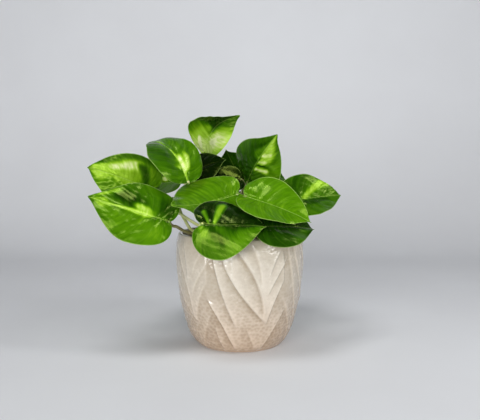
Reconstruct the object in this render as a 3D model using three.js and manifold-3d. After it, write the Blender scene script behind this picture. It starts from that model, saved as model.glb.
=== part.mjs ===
// A golden pothos with heart-shaped leaves, in a cream glazed pot with a leaf relief.
// Millimetres, +Z up. The origin is the middle of the pot's foot, on the surface that it
// stands on. Seen from the front, +X is to the right and -Y is towards the viewer.
import * as THREE from "three";
import { mergeVertices } from "three/addons/utils/BufferGeometryUtils.js";
import Module from "manifold-3d";

// ---------- driving dimensions ----------

const POT_HEIGHT = 131;
const WALL = 5; // thickness of the pot's side
const FLOOR = 7; // height of the pot's inner floor
const INNER_CORNER = 9; // height over which the inner wall curves in to that floor
const FOOT_EDGE = 0.8; // rounding of the foot
const RIM_EDGE = 1.6; // rounding of the rim
// Outer profile of the pot before its relief: [height, radius].
const POT_PROFILE = [
  [0, 48],
  [4, 53],
  [15, 59.5],
  [26, 63.4],
  [38, 66.6],
  [52, 69.8],
  [73, 72.7],
  [97, 74.2],
  [115, 73.9],
  [125, 73.2],
  [POT_HEIGHT, 72.1],
];
const RELIEF_UNITS = 5; // the leaf relief repeats this many times round the pot
// How strongly each unit is pressed, from the one in front round by the right.
const UNIT_STRENGTHS = [1, 0.3, 0.7, 0.8, 0.55];
const COLUMNS_PER_UNIT = 15;
const POT_ROWS = 16;

const SOIL_TOP = 112;
const SOIL_COLUMNS = 40;
const SOIL_MOUND = 3; // how much higher the middle of the soil is
const SOIL_LUMP = 1.5; // how far the soil's crumbs rise and fall
const GAP = 0.35; // clearance between pieces that touch on the real plant
const HOLE_GAP = 1.5 * GAP; // and round a stem in its many-sided hole in the soil

const BLADE_THICK = 0.8;
const BLADE_STEPS = 10; // from the notch, round the margin, to the tip
const BLADE_CROSS = 3; // from the midrib out to the margin
const MARGIN_WAVE = 0.02; // height of the waves in a margin, as a share of the length
const MARGIN_WAVES = 2.5; // and how many there are along one side

const STEM_RADIUS = 2.7;
const STEM_BURIED = 26; // length of each stem in the soil
const STALK_RADIUS = 1.8;
const SHEATH_EXTRA = 0.6; // how much thicker a stalk is where it leaves the stem
const KNEE_EXTRA = 0.25; // and where it meets its blade
const KNEE_REACH = 9; // a stalk led through points lies straight this far from its blade
const STALK_LIFT = 0.4; // how steeply one with no such points sets out, as a share of its reach
const STALK_LEAN = 0.1; // how far it leans out as it does
const STALK_BOW = 0.38; // and how far from its blade it turns in to it
const STALK_STEPS = 7;
const TUBE_SIDES = 6;

// One unit of the relief, as the creases where one moulded leaf overlaps the next. Each runs
// down from [angle in degrees, height] to [angle, height], with angle 0 in front. bow is how
// far its middle swings round the pot, and rise the height of its lip, which is on the side
// of the larger angles, or on the other side where rise is negative.
const CREASES = [
  { from: [-4, 122], to: [22, 45], bow: 5.5, rise: 1.5 },
  { from: [11, 124], to: [19, 84], bow: 1.5, rise: 0.7 },
  { from: [-7, 116], to: [-7, 90], bow: 0, rise: 0.4 },
  { from: [-18, 124], to: [24, 37], bow: -7.5, rise: 1.6 },
  { from: [-26, 124], to: [-5, 34], bow: -2.5, rise: 1.2 },
  { from: [-30, 62], to: [-7, 6], bow: 1, rise: 1.5 },
  { from: [-25, 30], to: [-19, 3], bow: -1, rise: 0.8 },
  { from: [6, 30], to: [17, 3], bow: 0, rise: 0.8 },
  { from: [40, 80], to: [26, 37], bow: -1.5, rise: -1.0 },
  { from: [44, 46], to: [25, 3], bow: 0, rise: -1.0 },
  { from: [45, 108], to: [26, 71], bow: -1, rise: -0.8 },
  { from: [38, 118], to: [27, 92], bow: -1, rise: -0.5 },
  { from: [41, 116], to: [42, 82], bow: 0, rise: -0.5 },
];
const LIP_WIDTH = 10; // a lip falls away over this distance on its own side
const GROOVE_WIDTH = 5; // and the groove beside it over this one
const LIP_EDGE = 1.2; // width of the step between groove and lip
const CREASE_FADE = 9; // height over which each end of a crease fades out
const PLAIN_FOOT = 5; // the relief rises from nothing over this height at the foot
const PLAIN_RIM = 7; // and over this one below the rim
const ROW_SPREAD = 0.3; // how much wider than even the pot's upper rows lie, as a share

// The stems, each from where it stands in the soil to its top.
const STEMS = {
  vine_1: { root: [-26, -14], top: [-30, -16, 140] },
  vine_2: { root: [-22, 14], top: [-30, 14, 160] },
  vine_3: { root: [-4, -16], top: [-8, -16, 150] },
  vine_4: { root: [22, -18], top: [24, -20, 140] },
  vine_5: { root: [26, 12], top: [30, 10, 150] },
  vine_6: { root: [2, 26], top: [0, 30, 160] },
};

// The leaves. base is the notch where the stalk meets the blade, tip the blade's point, and
// face the way that its upper side looks. In shares of the blade's length, half is its half
// width, lobe how far the lobes reach back and widest where it is broadest. fold raises both
// halves from the midrib, and bowl turns the margins up, or down where it is negative. arch
// and curl bend the midrib down by degrees, curl mostly at the tip. sweep bows the midrib
// sideways, twist turns the blade about it, and left is the width of the left half against
// the right one. vine carries the leaf, and its stalk starts up that share of the stem. The
// stalk runs through the points in via, and reaches the notch from the side that arrive
// points to, or else from behind and below.
const LEAVES = {
  // round the left of the pot, from the front to the back
  leaf_01: {
    base: [-78, -66, 151], tip: [-167, -54, 177], face: [0.06, -0.84, 0.54],
    half: 0.38, lobe: 0.11, widest: 0.35, fold: 0.11, bowl: -0.19,
    arch: 9, curl: 2, sweep: -0.04, twist: -7, left: 1.02,
    vine: "vine_1", up: 0.15, via: [[-58, -42, 136], [-64, -50, 139.5], [-70, -58, 144.5]],
  },
  leaf_02: {
    base: [-103, -5, 181], tip: [-176, -10, 207], face: [-0.39, -0.87, 0.3],
    half: 0.39, lobe: 0.12, widest: 0.31, fold: 0.23, bowl: -0.08,
    arch: 40, curl: 25, sweep: 0.05, twist: -15, left: 1.03,
    vine: "vine_1", up: 0.5, via: [[-58, -18, 147]], arrive: [0.6, -0.4, -0.7],
  },
  leaf_03: {
    base: [-70, 2, 191], tip: [-121, 34, 185], face: [-0.2, -0.6, 0.75],
    half: 0.36, lobe: 0.12, widest: 0.33, fold: 0.21, bowl: -0.17,
    arch: -7, curl: 1, sweep: -0.02, twist: -15, left: 1.01,
    vine: "vine_1", up: 0.3, via: [[-56, -10, 134], [-64, -6, 145], [-71, -1, 160]],
  },
  leaf_04: {
    base: [-58, -42, 191], tip: [-108, -6, 231], face: [0.35, -0.42, 0.84],
    half: 0.39, lobe: 0, widest: 0.34, fold: 0.19, bowl: -0.18,
    arch: 66, curl: 47, sweep: -0.03, twist: -18, left: 1.01,
    vine: "vine_1", up: 1,
    via: [[-47, 6, 174], [-57, -10, 193], [-59, -22, 196]], arrive: [0, 0.9, 0.4],
  },
  // the upright leaf at the top, and the ones round its foot
  leaf_05: {
    base: [-43, 42, 222], tip: [0, 4, 267], face: [-0.2, -0.95, 0.26],
    half: 0.35, lobe: 0.06, widest: 0.37, fold: 0.36, bowl: 0.44,
    arch: -1, curl: -6, sweep: -0.69, twist: 45, left: 0.95,
    vine: "vine_2", up: 0.95, via: [[-38, 52, 194]], arrive: [0.05, 0.3, -0.95],
  },
  leaf_06: {
    base: [-60, 20, 200], tip: [-16, -6, 216], face: [-0.1, -0.92, 0.38],
    half: 0.38, lobe: 0.13, widest: 0.32, fold: 0.06, bowl: -0.23,
    arch: 6, curl: 6, sweep: 0.03, twist: -3, left: 0.98,
    vine: "vine_2", up: 1,
  },
  leaf_07: {
    base: [5, 62, 184], tip: [-17, 36, 227], face: [-0.42, -0.69, 0.59],
    half: 0.5, lobe: 0.13, widest: 0.39, fold: 0, bowl: -0.2,
    arch: 11, curl: 1, sweep: -0.03, twist: 0, left: 1.03,
    vine: "vine_6", up: 1,
  },
  leaf_08: {
    base: [0, 22, 191], tip: [-41, 8, 184], face: [0.02, -0.85, 0.5],
    half: 0.42, lobe: 0.11, widest: 0.27, fold: 0.38, bowl: 0.13,
    arch: -41, curl: -8, sweep: 0.03, twist: 28, left: 1,
    vine: "vine_6", up: 0.8,
  },
  // across the front, from the left to the right
  leaf_09: {
    base: [-4, -23, 177], tip: [-73, -80, 171], face: [0.27, -0.68, 0.68],
    half: 0.43, lobe: 0.14, widest: 0.35, fold: 0.13, bowl: -0.22,
    arch: -30, curl: -10, sweep: 0, twist: 19, left: 1,
    vine: "vine_3", up: 0.7,
  },
  leaf_10: {
    base: [-39, -89, 151], tip: [28, -88, 148], face: [-0.11, -0.85, 0.51],
    half: 0.52, lobe: 0.19, widest: 0.31, fold: -0.07, bowl: -0.34,
    arch: -3, curl: 11, sweep: 0, twist: -12, left: 0.99,
    vine: "vine_3", up: 0.3,
  },
  leaf_11: {
    base: [17, -77, 147], tip: [82, -49, 140], face: [0.12, -0.67, 0.73],
    half: 0.42, lobe: 0.09, widest: 0.37, fold: 0.21, bowl: -0.16,
    arch: 14, curl: 14, sweep: 0.06, twist: 2, left: 1,
    vine: "vine_4", up: 0.3,
  },
  leaf_12: {
    base: [7, -53, 177], tip: [77, -70, 150], face: [0.16, -0.65, 0.75],
    half: 0.38, lobe: 0.11, widest: 0.33, fold: 0.43, bowl: -0.11,
    arch: 13, curl: 13, sweep: 0.04, twist: 14, left: 1.01,
    vine: "vine_4", up: 0.6, via: [[24, -44, 148]],
  },
  // the right side
  leaf_13: {
    base: [9, 8, 189], tip: [41, -44, 245], face: [-0.06, -0.87, 0.49],
    half: 0.4, lobe: 0.1, widest: 0.32, fold: -0.12, bowl: -0.06,
    arch: 34, curl: -7, sweep: -0.02, twist: 42, left: 0.94,
    vine: "vine_4", up: 1,
  },
  leaf_14: {
    base: [56, -25, 170], tip: [118, -3, 174], face: [0.29, -0.71, 0.64],
    half: 0.42, lobe: 0.16, widest: 0.35, fold: 0.29, bowl: 0,
    arch: 19, curl: 5, sweep: 0.07, twist: -2, left: 1.02,
    vine: "vine_5", up: 0.5,
  },
  leaf_15: {
    base: [22, 32, 205], tip: [63, 28, 175], face: [0.4, -0.53, 0.74],
    half: 0.39, lobe: 0.13, widest: 0.35, fold: 0.19, bowl: 0,
    arch: 9, curl: 2, sweep: 0, twist: -13, left: 1,
    vine: "vine_5", up: 1,
  },
  // across the back, from the left to the right
  leaf_16: {
    base: [-47, 44, 162], tip: [-113, 78, 142], face: [-0.3, 0.35, 0.88],
    half: 0.4, lobe: 0.13, widest: 0.33, fold: 0.2, bowl: -0.15,
    arch: 35, curl: 15, sweep: 0.03, twist: 0, left: 1,
    vine: "vine_2", up: 0.35,
  },
  leaf_17: {
    base: [-50, 58, 206], tip: [-80, 112, 190], face: [-0.25, 0.35, 0.9],
    half: 0.4, lobe: 0.13, widest: 0.33, fold: 0.15, bowl: -0.15,
    arch: 30, curl: 15, sweep: -0.03, twist: 10, left: 1,
    vine: "vine_2", up: 0.6,
  },
  leaf_18: {
    base: [-12, 74, 172], tip: [-24, 138, 144], face: [0, 0.5, 0.86],
    half: 0.41, lobe: 0.13, widest: 0.33, fold: 0.15, bowl: -0.2,
    arch: 30, curl: 20, sweep: -0.03, twist: 5, left: 1,
    vine: "vine_6", up: 0.4,
  },
  leaf_19: {
    base: [18, 70, 203], tip: [38, 128, 187], face: [0.1, 0.3, 0.95],
    half: 0.39, lobe: 0.12, widest: 0.33, fold: 0.25, bowl: -0.1,
    arch: 35, curl: 15, sweep: 0.03, twist: -8, left: 1,
    vine: "vine_5", up: 0.6, via: [[42, 46, 178]],
  },
  leaf_20: {
    base: [26, 54, 150], tip: [42, 112, 126], face: [0.1, 0.5, 0.86],
    half: 0.42, lobe: 0.14, widest: 0.33, fold: 0.15, bowl: -0.15,
    arch: 30, curl: 15, sweep: 0.03, twist: 5, left: 1,
    vine: "vine_6", up: 0.3,
  },
  leaf_21: {
    base: [34, 72, 172], tip: [78, 116, 148], face: [0.35, 0.4, 0.85],
    half: 0.4, lobe: 0.14, widest: 0.33, fold: 0.2, bowl: -0.1,
    arch: 30, curl: 15, sweep: 0.04, twist: -5, left: 1,
    vine: "vine_5", up: 0.75,
  },
  leaf_22: {
    base: [66, 32, 164], tip: [116, 58, 156], face: [0.3, 0.1, 0.95],
    half: 0.41, lobe: 0.13, widest: 0.34, fold: 0.25, bowl: -0.12,
    arch: 32, curl: 16, sweep: -0.03, twist: 6, left: 1,
    vine: "vine_5", up: 0.3,
  },
};

// ---------- materials ----------

const material = (color, roughness) =>
  new THREE.MeshStandardMaterial({ color, roughness, metalness: 0 });
const glazedMaterial = material("#d9cfbd", 0.2);
const soilMaterial = material("#3a2b20", 1);
const stemMaterial = material("#8d9b45", 0.5);
const leafMaterial = material("#4c8f1b", 0.3);

// ---------- closed meshes ----------

const vector = (array) => new THREE.Vector3(...array);

// A closed geometry from its points and its triples of point numbers.
const closedGeometry = (points, triangles) =>
  new THREE.BufferGeometry()
    .setAttribute(
      "position",
      new THREE.Float32BufferAttribute(
        points.flatMap((p) => p.toArray()),
        3,
      ),
    )
    .setIndex(triangles.flat());

// Rings of equally many points, joined in their order and closed at both ends by a fan round
// the end ring's middle. The points run anticlockwise, seen from where the rings move to.
const lofted = (rings) => {
  const n = rings[0].length;
  const points = rings.flat();
  const triangles = [];
  for (let r = 0; r + 1 < rings.length; r++)
    for (let i = 0; i < n; i++) {
      const a = r * n + i;
      const b = r * n + ((i + 1) % n);
      triangles.push([a, b, b + n], [a, b + n, a + n]);
    }
  const addCap = (ring, flipped) => {
    const middle = new THREE.Vector3();
    for (const p of rings[ring]) middle.addScaledVector(p, 1 / n);
    points.push(middle);
    for (let i = 0; i < n; i++) {
      const a = ring * n + i;
      const b = ring * n + ((i + 1) % n);
      triangles.push([...(flipped ? [b, a] : [a, b]), points.length - 1]);
    }
  };
  addCap(0, true);
  addCap(rings.length - 1, false);
  return closedGeometry(points, triangles);
};

// A tube of round sections along points, with a radius at each of them.
const tubeGeometry = (points, radii) => {
  const side = new THREE.Vector3(1, 0, 0);
  const rings = points.map((p, i) => {
    const before = points[Math.max(i - 1, 0)];
    const after = points[Math.min(i + 1, points.length - 1)];
    const along = after.clone().sub(before).normalize();
    side.addScaledVector(along, -side.dot(along)).normalize();
    const across = along.clone().cross(side);
    return Array.from({ length: TUBE_SIDES }, (_, k) => {
      const angle = (2 * Math.PI * k) / TUBE_SIDES;
      return p
        .clone()
        .addScaledVector(side, radii[i] * Math.cos(angle))
        .addScaledVector(across, radii[i] * Math.sin(angle));
    });
  });
  return lofted(rings);
};

const wasm = await Module();
wasm.setup();

const solidOf = (geometry) => {
  const bare = geometry.clone().deleteAttribute("normal").deleteAttribute("uv");
  const merged = mergeVertices(bare, 1e-4);
  return new wasm.Manifold(
    new wasm.Mesh({
      numProp: 3,
      vertProperties: merged.attributes.position.array,
      triVerts: new Uint32Array(merged.index.array),
    }),
  );
};

const geometryOf = (solid) => {
  const { vertProperties, triVerts } = solid.getMesh();
  return new THREE.BufferGeometry()
    .setAttribute("position", new THREE.BufferAttribute(vertProperties, 3))
    .setIndex(new THREE.BufferAttribute(triVerts, 1));
};

// ---------- the pot ----------

const smooth = (x) => {
  const c = THREE.MathUtils.clamp(x, 0, 1);
  return c * c * (3 - 2 * c);
};

const profileCurve = new THREE.SplineCurve(
  POT_PROFILE.map(([z, r]) => new THREE.Vector2(z, r)),
);
const profilePoints = profileCurve.getPoints(300);

// Radius of the smooth outer profile at a height.
const outerRadius = (z) => {
  const i = Math.max(
    1,
    profilePoints.findIndex((p) => p.x >= z),
  );
  const [a, b] = [profilePoints[i - 1], profilePoints[i]];
  return THREE.MathUtils.mapLinear(z, a.x, b.x, a.y, b.y);
};

const UNIT_ANGLE = 360 / RELIEF_UNITS;

// Height of the relief over that profile, at an angle in degrees and a height.
const reliefAt = (angle, z) => {
  let sum = 0;
  for (const { from, to, bow, rise } of CREASES) {
    const s = THREE.MathUtils.clamp(
      (from[1] - z) / (from[1] - to[1]),
      -0.2,
      1.2,
    );
    const middle = from[0] + (to[0] - from[0]) * s + 4 * bow * s * (1 - s);
    const away = THREE.MathUtils.euclideanModulo(
      angle - middle + UNIT_ANGLE / 2,
      360,
    );
    const unit = Math.floor(away / UNIT_ANGLE);
    const turn = away - (unit + 0.5) * UNIT_ANGLE;
    const across =
      Math.sign(rise) * THREE.MathUtils.degToRad(turn) * outerRadius(z);
    const width = across > 0 ? LIP_WIDTH : GROOVE_WIDTH;
    const fade =
      smooth((from[1] - z) / CREASE_FADE + 0.5) *
      smooth((z - to[1]) / CREASE_FADE + 0.5);
    sum +=
      Math.abs(rise) *
      UNIT_STRENGTHS[unit] *
      Math.tanh(across / LIP_EDGE) *
      Math.exp(-Math.abs(across) / width) *
      fade;
  }
  return sum;
};

const POT_COLUMNS = RELIEF_UNITS * COLUMNS_PER_UNIT;

// A ring of points round the pot's axis, with its radius for each angle in degrees.
const ringAt = (z, radiusAt, columns = POT_COLUMNS) =>
  Array.from({ length: columns }, (_, i) => {
    const degrees = (360 * i) / columns;
    const angle = THREE.MathUtils.degToRad(degrees);
    const r = radiusAt(degrees);
    return new THREE.Vector3(r * Math.sin(angle), -r * Math.cos(angle), z);
  });

const innerRadius = (z) => outerRadius(z) - WALL;
const floorRadius = innerRadius(FLOOR) - INNER_CORNER / 2;
const INNER_LEVELS = [FLOOR + INNER_CORNER, 38, 62, 97, SOIL_TOP];

const potGeometry = () => {
  const rings = [ringAt(0, () => outerRadius(0) - FOOT_EDGE)];
  const top = POT_HEIGHT - RIM_EDGE;
  for (let i = 0; i <= POT_ROWS; i++) {
    const s = i / POT_ROWS;
    const up = (1 - ROW_SPREAD) * s + ROW_SPREAD * s * s;
    const z = THREE.MathUtils.lerp(FOOT_EDGE, top, up);
    const inset =
      smooth((z - FOOT_EDGE) / PLAIN_FOOT) * smooth((top - z) / PLAIN_RIM);
    rings.push(
      ringAt(z, (angle) => outerRadius(z) + reliefAt(angle, z) * inset),
    );
  }
  const rim = outerRadius(POT_HEIGHT);
  rings.push(
    ringAt(POT_HEIGHT, () => rim - RIM_EDGE),
    ringAt(POT_HEIGHT, () => rim - WALL + RIM_EDGE),
    ringAt(top, () => innerRadius(top)),
  );
  for (const z of INNER_LEVELS.toReversed())
    rings.push(ringAt(z, () => innerRadius(z)));
  rings.push(ringAt(FLOOR, () => floorRadius));
  return lofted(rings);
};

// ---------- the soil ----------

const SOIL_RINGS = [1, 0.9, 0.68, 0.42, 0.16]; // shares of the radius, from the wall in
const HOLE_SIDES = 10;

// Height of the soil's surface, with share 0 in the middle and 1 at the wall.
const soilHeight = (degrees, share) => {
  const angle = THREE.MathUtils.degToRad(degrees);
  const lumps =
    Math.sin(4 * angle + 9 * share) * Math.cos(11 * angle - 5 * share) +
    0.5 * Math.sin(18 * angle + 17 * share);
  return SOIL_TOP + SOIL_MOUND * (1 - share) + SOIL_LUMP * lumps * share;
};

const soilGeometry = () => {
  const rings = [
    ringAt(FLOOR + GAP, () => floorRadius - 2 * GAP, SOIL_COLUMNS),
    ...INNER_LEVELS.slice(0, -1).map((z) =>
      ringAt(z, () => innerRadius(z) - GAP, SOIL_COLUMNS),
    ),
  ];
  const outer = innerRadius(SOIL_TOP) - GAP;
  for (const share of SOIL_RINGS) {
    const ring = ringAt(0, () => outer * share, SOIL_COLUMNS);
    ring.forEach((p, i) => {
      p.z = soilHeight((360 * i) / SOIL_COLUMNS, share);
    });
    rings.push(ring);
  }
  let soil = solidOf(lofted(rings));
  const bottom = SOIL_TOP - STEM_BURIED;
  const reach = POT_HEIGHT - bottom;
  for (const { root } of Object.values(STEMS)) {
    const hole = new THREE.CylinderGeometry(
      STEM_RADIUS + HOLE_GAP,
      STEM_RADIUS + HOLE_GAP,
      reach,
      HOLE_SIDES,
    )
      .rotateX(Math.PI / 2)
      .translate(...root, bottom + reach / 2);
    soil = soil.subtract(solidOf(hole));
  }
  return geometryOf(soil);
};

// ---------- leaf blades ----------

const LOBE_SHARE = 0.46; // share of the margin's steps that go round the lobe
const RIB_POWER = 2.2; // packs the veins' feet towards the notch
const BEND_STEPS = 24; // steps in the sum that bends a midrib
const FOLD_ROUND = 0.1; // half width of the rounded bottom of a blade's fold
const WAVE_SHIFT = 1.1; // sets the waves of the two margins apart

// A point of one half's margin for a flat blade of length 1: [along, out from the midrib].
const marginPoint = (t, { half, lobe, widest }) => {
  const v = (x, y) => new THREE.Vector2(x, y);
  const widestPoint = v(widest, half);
  if (t < LOBE_SHARE)
    return new THREE.CubicBezierCurve(
      v(0, 0),
      v(-1.35 * lobe, 0.16 * half),
      v(-1.25 * lobe, half),
      widestPoint,
    ).getPoint(t / LOBE_SHARE);
  return new THREE.CubicBezierCurve(
    widestPoint,
    v(widest + 0.3, half),
    v(0.84, 0.26 * half),
    v(1, 0),
  ).getPoint((t - LOBE_SHARE) / (1 - LOBE_SHARE));
};

// The bent midrib at a share of its length: how far forward and up, and its turn in radians.
const bentMidrib = (x, { arch, curl }) => {
  const turn = (s) =>
    THREE.MathUtils.degToRad(arch * s + curl * Math.max(s, 0) ** 3);
  const step = x / BEND_STEPS;
  let forward = 0;
  let up = 0;
  for (let i = 0; i < BEND_STEPS; i++) {
    forward += step * Math.cos(turn((i + 0.5) * step));
    up -= step * Math.sin(turn((i + 0.5) * step));
  }
  return { forward, up, turned: turn(x) };
};

// The blade's own axes at its notch, in the object's frame, and its length.
const bladeFrame = (leaf) => {
  const base = vector(leaf.base);
  const chord = vector(leaf.tip).sub(base);
  const end = bentMidrib(1, leaf);
  const flat = Math.hypot(end.forward, end.up);
  const length = chord.length() / flat;
  chord.normalize();
  const face = vector(leaf.face);
  face.addScaledVector(chord, -face.dot(chord)).normalize();
  const cos = end.forward / flat;
  const sin = -end.up / flat;
  const ahead = chord.clone().multiplyScalar(cos).addScaledVector(face, sin);
  const upper = face.clone().multiplyScalar(cos).addScaledVector(chord, -sin);
  return { base, ahead, upper, leftward: upper.clone().cross(ahead), length };
};

// A point of the blade's middle surface. t runs from the notch to the tip, and v across it,
// from -1 at the right margin to 1 at the left one.
const bladePoint = (leaf, frame, t, v) => {
  const q = Math.abs(v);
  const side = Math.sign(v);
  const margin = marginPoint(t, leaf);
  const foot = t ** RIB_POWER;
  const x = foot + q * (margin.x - foot);
  const wide = v > 0 ? leaf.left : 1;
  let y = side * q * margin.y * wide;
  const out = Math.abs(y) / leaf.half;
  let z =
    leaf.half *
      (leaf.fold * (Math.hypot(out, FOLD_ROUND) - FOLD_ROUND) +
        leaf.bowl * out * out) +
    MARGIN_WAVE *
      q ** 3 *
      Math.sin(2 * Math.PI * MARGIN_WAVES * t + WAVE_SHIFT * side);
  y += leaf.sweep * (x * x - x);
  const twist = THREE.MathUtils.degToRad(leaf.twist) * x;
  [y, z] = [
    y * Math.cos(twist) - z * Math.sin(twist),
    y * Math.sin(twist) + z * Math.cos(twist),
  ];
  const { forward, up, turned } = bentMidrib(x, leaf);
  return frame.base
    .clone()
    .addScaledVector(frame.ahead, frame.length * (forward + z * Math.sin(turned)))
    .addScaledVector(frame.leftward, frame.length * y)
    .addScaledVector(frame.upper, frame.length * (up + z * Math.cos(turned)));
};

// The blade, with grow added all round it. Both faces are split alike.
const bladeGeometry = (leaf, grow = 0) => {
  const frame = bladeFrame(leaf);
  const across = 2 * BLADE_CROSS + 1;
  const middle = [bladePoint(leaf, frame, 0, 0)];
  for (let i = 1; i < BLADE_STEPS; i++)
    for (let j = 0; j < across; j++)
      middle.push(
        bladePoint(leaf, frame, i / BLADE_STEPS, j / BLADE_CROSS - 1),
      );
  middle.push(bladePoint(leaf, frame, 1, 0));
  const count = middle.length;
  const at = (i, j) => {
    if (i === 0) return 0;
    return i === BLADE_STEPS ? count - 1 : 1 + (i - 1) * across + j;
  };
  const spread = (outer, inner) => {
    const out = middle[outer].clone().sub(middle[inner]).normalize();
    middle[outer].addScaledVector(out, grow);
  };
  for (let i = 1; i < BLADE_STEPS; i++) {
    spread(at(i, 0), at(i, 1));
    spread(at(i, across - 1), at(i, across - 2));
  }
  middle[0].addScaledVector(frame.ahead, -grow);
  const upper = [];
  for (let i = 0; i < BLADE_STEPS; i++)
    for (let j = 0; j + 1 < across; j++) {
      const corners = [at(i, j), at(i + 1, j), at(i + 1, j + 1), at(i, j + 1)];
      for (const [a, b, c] of [
        [0, 1, 2],
        [0, 2, 3],
      ])
        if (new Set([corners[a], corners[b], corners[c]]).size === 3)
          upper.push([corners[a], corners[b], corners[c]]);
    }
  const normals = middle.map(() => new THREE.Vector3());
  for (const [a, b, c] of upper) {
    const normal = middle[b]
      .clone()
      .sub(middle[a])
      .cross(middle[c].clone().sub(middle[a]));
    for (const corner of [a, b, c]) normals[corner].add(normal);
  }
  const offset = BLADE_THICK / 2 + grow;
  const shifted = (distance) =>
    middle.map((p, i) =>
      p.clone().addScaledVector(normals[i].normalize(), distance),
    );
  const points = [...shifted(offset), ...shifted(-offset)];
  const triangles = upper.flatMap(([a, b, c]) => [
    [a, b, c],
    [a + count, c + count, b + count],
  ]);
  const loop = [];
  for (let i = 0; i < BLADE_STEPS; i++) loop.push(at(i, across - 1));
  for (let i = BLADE_STEPS; i > 0; i--) loop.push(at(i, 0));
  loop.forEach((a, i) => {
    const b = loop[(i + 1) % loop.length];
    triangles.push([a, b, b + count], [a, b + count, a + count]);
  });
  return closedGeometry(points, triangles);
};

// ---------- stems and stalks ----------

const STEM_RISE = 5; // each stem stands upright for this height over the soil

const stemCurve = ({ root, top }) => {
  const foot = new THREE.Vector3(...root, SOIL_TOP + STEM_RISE);
  const bend = foot.clone().setZ((foot.z + top[2]) / 2);
  return new THREE.QuadraticBezierCurve3(foot, bend, vector(top));
};

const stemGeometry = (stem) => {
  const points = stemCurve(stem).getPoints(3);
  const foot = new THREE.Vector3(...stem.root, SOIL_TOP - STEM_BURIED + GAP);
  const radii = [1, 1, 0.95, 0.9, 0.75].map((share) => share * STEM_RADIUS);
  return tubeGeometry([foot, ...points], radii);
};

// The way of a stalk, from inside its stem to the notch of its blade.
const stalkPoints = (leaf) => {
  const { base, ahead, upper } = bladeFrame(leaf);
  const start = stemCurve(STEMS[leaf.vine]).getPoint(leaf.up);
  const arrive = leaf.arrive
    ? vector(leaf.arrive).normalize()
    : upper.multiplyScalar(-0.75).addScaledVector(ahead, -0.5).normalize();
  if (leaf.via) {
    const knee = base.clone().addScaledVector(arrive, KNEE_REACH);
    return new THREE.CatmullRomCurve3(
      [start, ...leaf.via.map(vector), knee, base],
      false,
      "centripetal",
    ).getSpacedPoints(STALK_STEPS);
  }
  const reach = base.clone().sub(start);
  const length = reach.length();
  const lean = reach.clone().multiplyScalar(STALK_LEAN);
  const out = lean.setZ(STALK_LIFT * length);
  return new THREE.CubicBezierCurve3(
    start,
    out.add(start),
    base.clone().addScaledVector(arrive, STALK_BOW * length),
    base,
  ).getSpacedPoints(STALK_STEPS);
};

const stalkGeometry = (leaf) => {
  const radii = Array.from({ length: STALK_STEPS + 1 }, (_, i) => {
    const s = i / STALK_STEPS;
    const sheath = SHEATH_EXTRA * Math.max(0, 1 - 5 * s);
    return STALK_RADIUS + sheath + KNEE_EXTRA * smooth((s - 0.85) / 0.15);
  });
  return tubeGeometry(stalkPoints(leaf), radii);
};

// A stem with all its stalks, cut clear of the blades that they carry.
const vineGeometry = (name) => {
  const leaves = Object.values(LEAVES).filter((leaf) => leaf.vine === name);
  let vine = solidOf(stemGeometry(STEMS[name]));
  for (const leaf of leaves) vine = vine.add(solidOf(stalkGeometry(leaf)));
  for (const leaf of leaves)
    vine = vine.subtract(solidOf(bladeGeometry(leaf, GAP)));
  const bodies = vine.decompose();
  bodies.sort((a, b) => b.volume() - a.volume());
  return geometryOf(bodies[0]);
};

// ---------- the plant ----------

const plant = new THREE.Group();

const addPiece = (name, geometry, pieceMaterial) => {
  const mesh = new THREE.Mesh(geometry, pieceMaterial);
  mesh.name = name;
  plant.add(mesh);
};

addPiece("pot", potGeometry(), glazedMaterial);
addPiece("soil", soilGeometry(), soilMaterial);
for (const name of Object.keys(STEMS))
  addPiece(name, vineGeometry(name), stemMaterial);
for (const [name, leaf] of Object.entries(LEAVES))
  addPiece(name, bladeGeometry(leaf), leafMaterial);

export default plant;
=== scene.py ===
import functools
import math

import bmesh
import bpy
import numpy as np
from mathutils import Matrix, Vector


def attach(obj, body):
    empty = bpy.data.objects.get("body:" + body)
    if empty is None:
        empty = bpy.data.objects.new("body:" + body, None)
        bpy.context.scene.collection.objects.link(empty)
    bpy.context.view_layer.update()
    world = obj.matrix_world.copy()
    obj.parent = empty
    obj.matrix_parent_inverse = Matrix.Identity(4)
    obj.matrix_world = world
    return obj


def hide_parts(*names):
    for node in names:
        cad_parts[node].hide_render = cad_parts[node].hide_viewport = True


# A golden pothos in a cream glazed pot. Shapes are worked out in millimetres, +Z up, with
# the origin under the middle of the pot and -Y towards the viewer.
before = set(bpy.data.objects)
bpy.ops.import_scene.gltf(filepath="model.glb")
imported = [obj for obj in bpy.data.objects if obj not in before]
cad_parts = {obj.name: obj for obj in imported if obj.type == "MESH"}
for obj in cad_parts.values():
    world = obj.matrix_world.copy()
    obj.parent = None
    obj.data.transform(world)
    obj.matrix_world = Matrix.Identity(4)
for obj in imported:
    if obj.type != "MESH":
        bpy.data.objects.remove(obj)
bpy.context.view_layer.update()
print("frame loaded:", len(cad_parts), "nodes")


def smoothStep(x, low=0.0, high=1.0):
    # 3 s^2 - 2 s^3, with s rising from 0 at low to 1 at high
    s = np.clip((np.asarray(x, float) - low) / (high - low), 0, 1)
    return s * s * (3 - 2 * s)


def bump(x, width):
    # e to the minus (x / width) squared
    return np.exp(-(x / width) ** 2)


def unit(vectors):
    vectors = np.asarray(vectors, float)
    return vectors / np.maximum(np.linalg.norm(vectors, axis=-1, keepdims=True), 1e-9)


def linearColour(hexText):
    # an sRGB hex value as linear light, with an alpha of 1
    channels = [int(hexText[i:i + 2], 16) / 255 for i in (1, 3, 5)]
    return [c / 12.92 if c <= 0.04045 else ((c + 0.055) / 1.055) ** 2.4 for c in channels] + [1]


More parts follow.
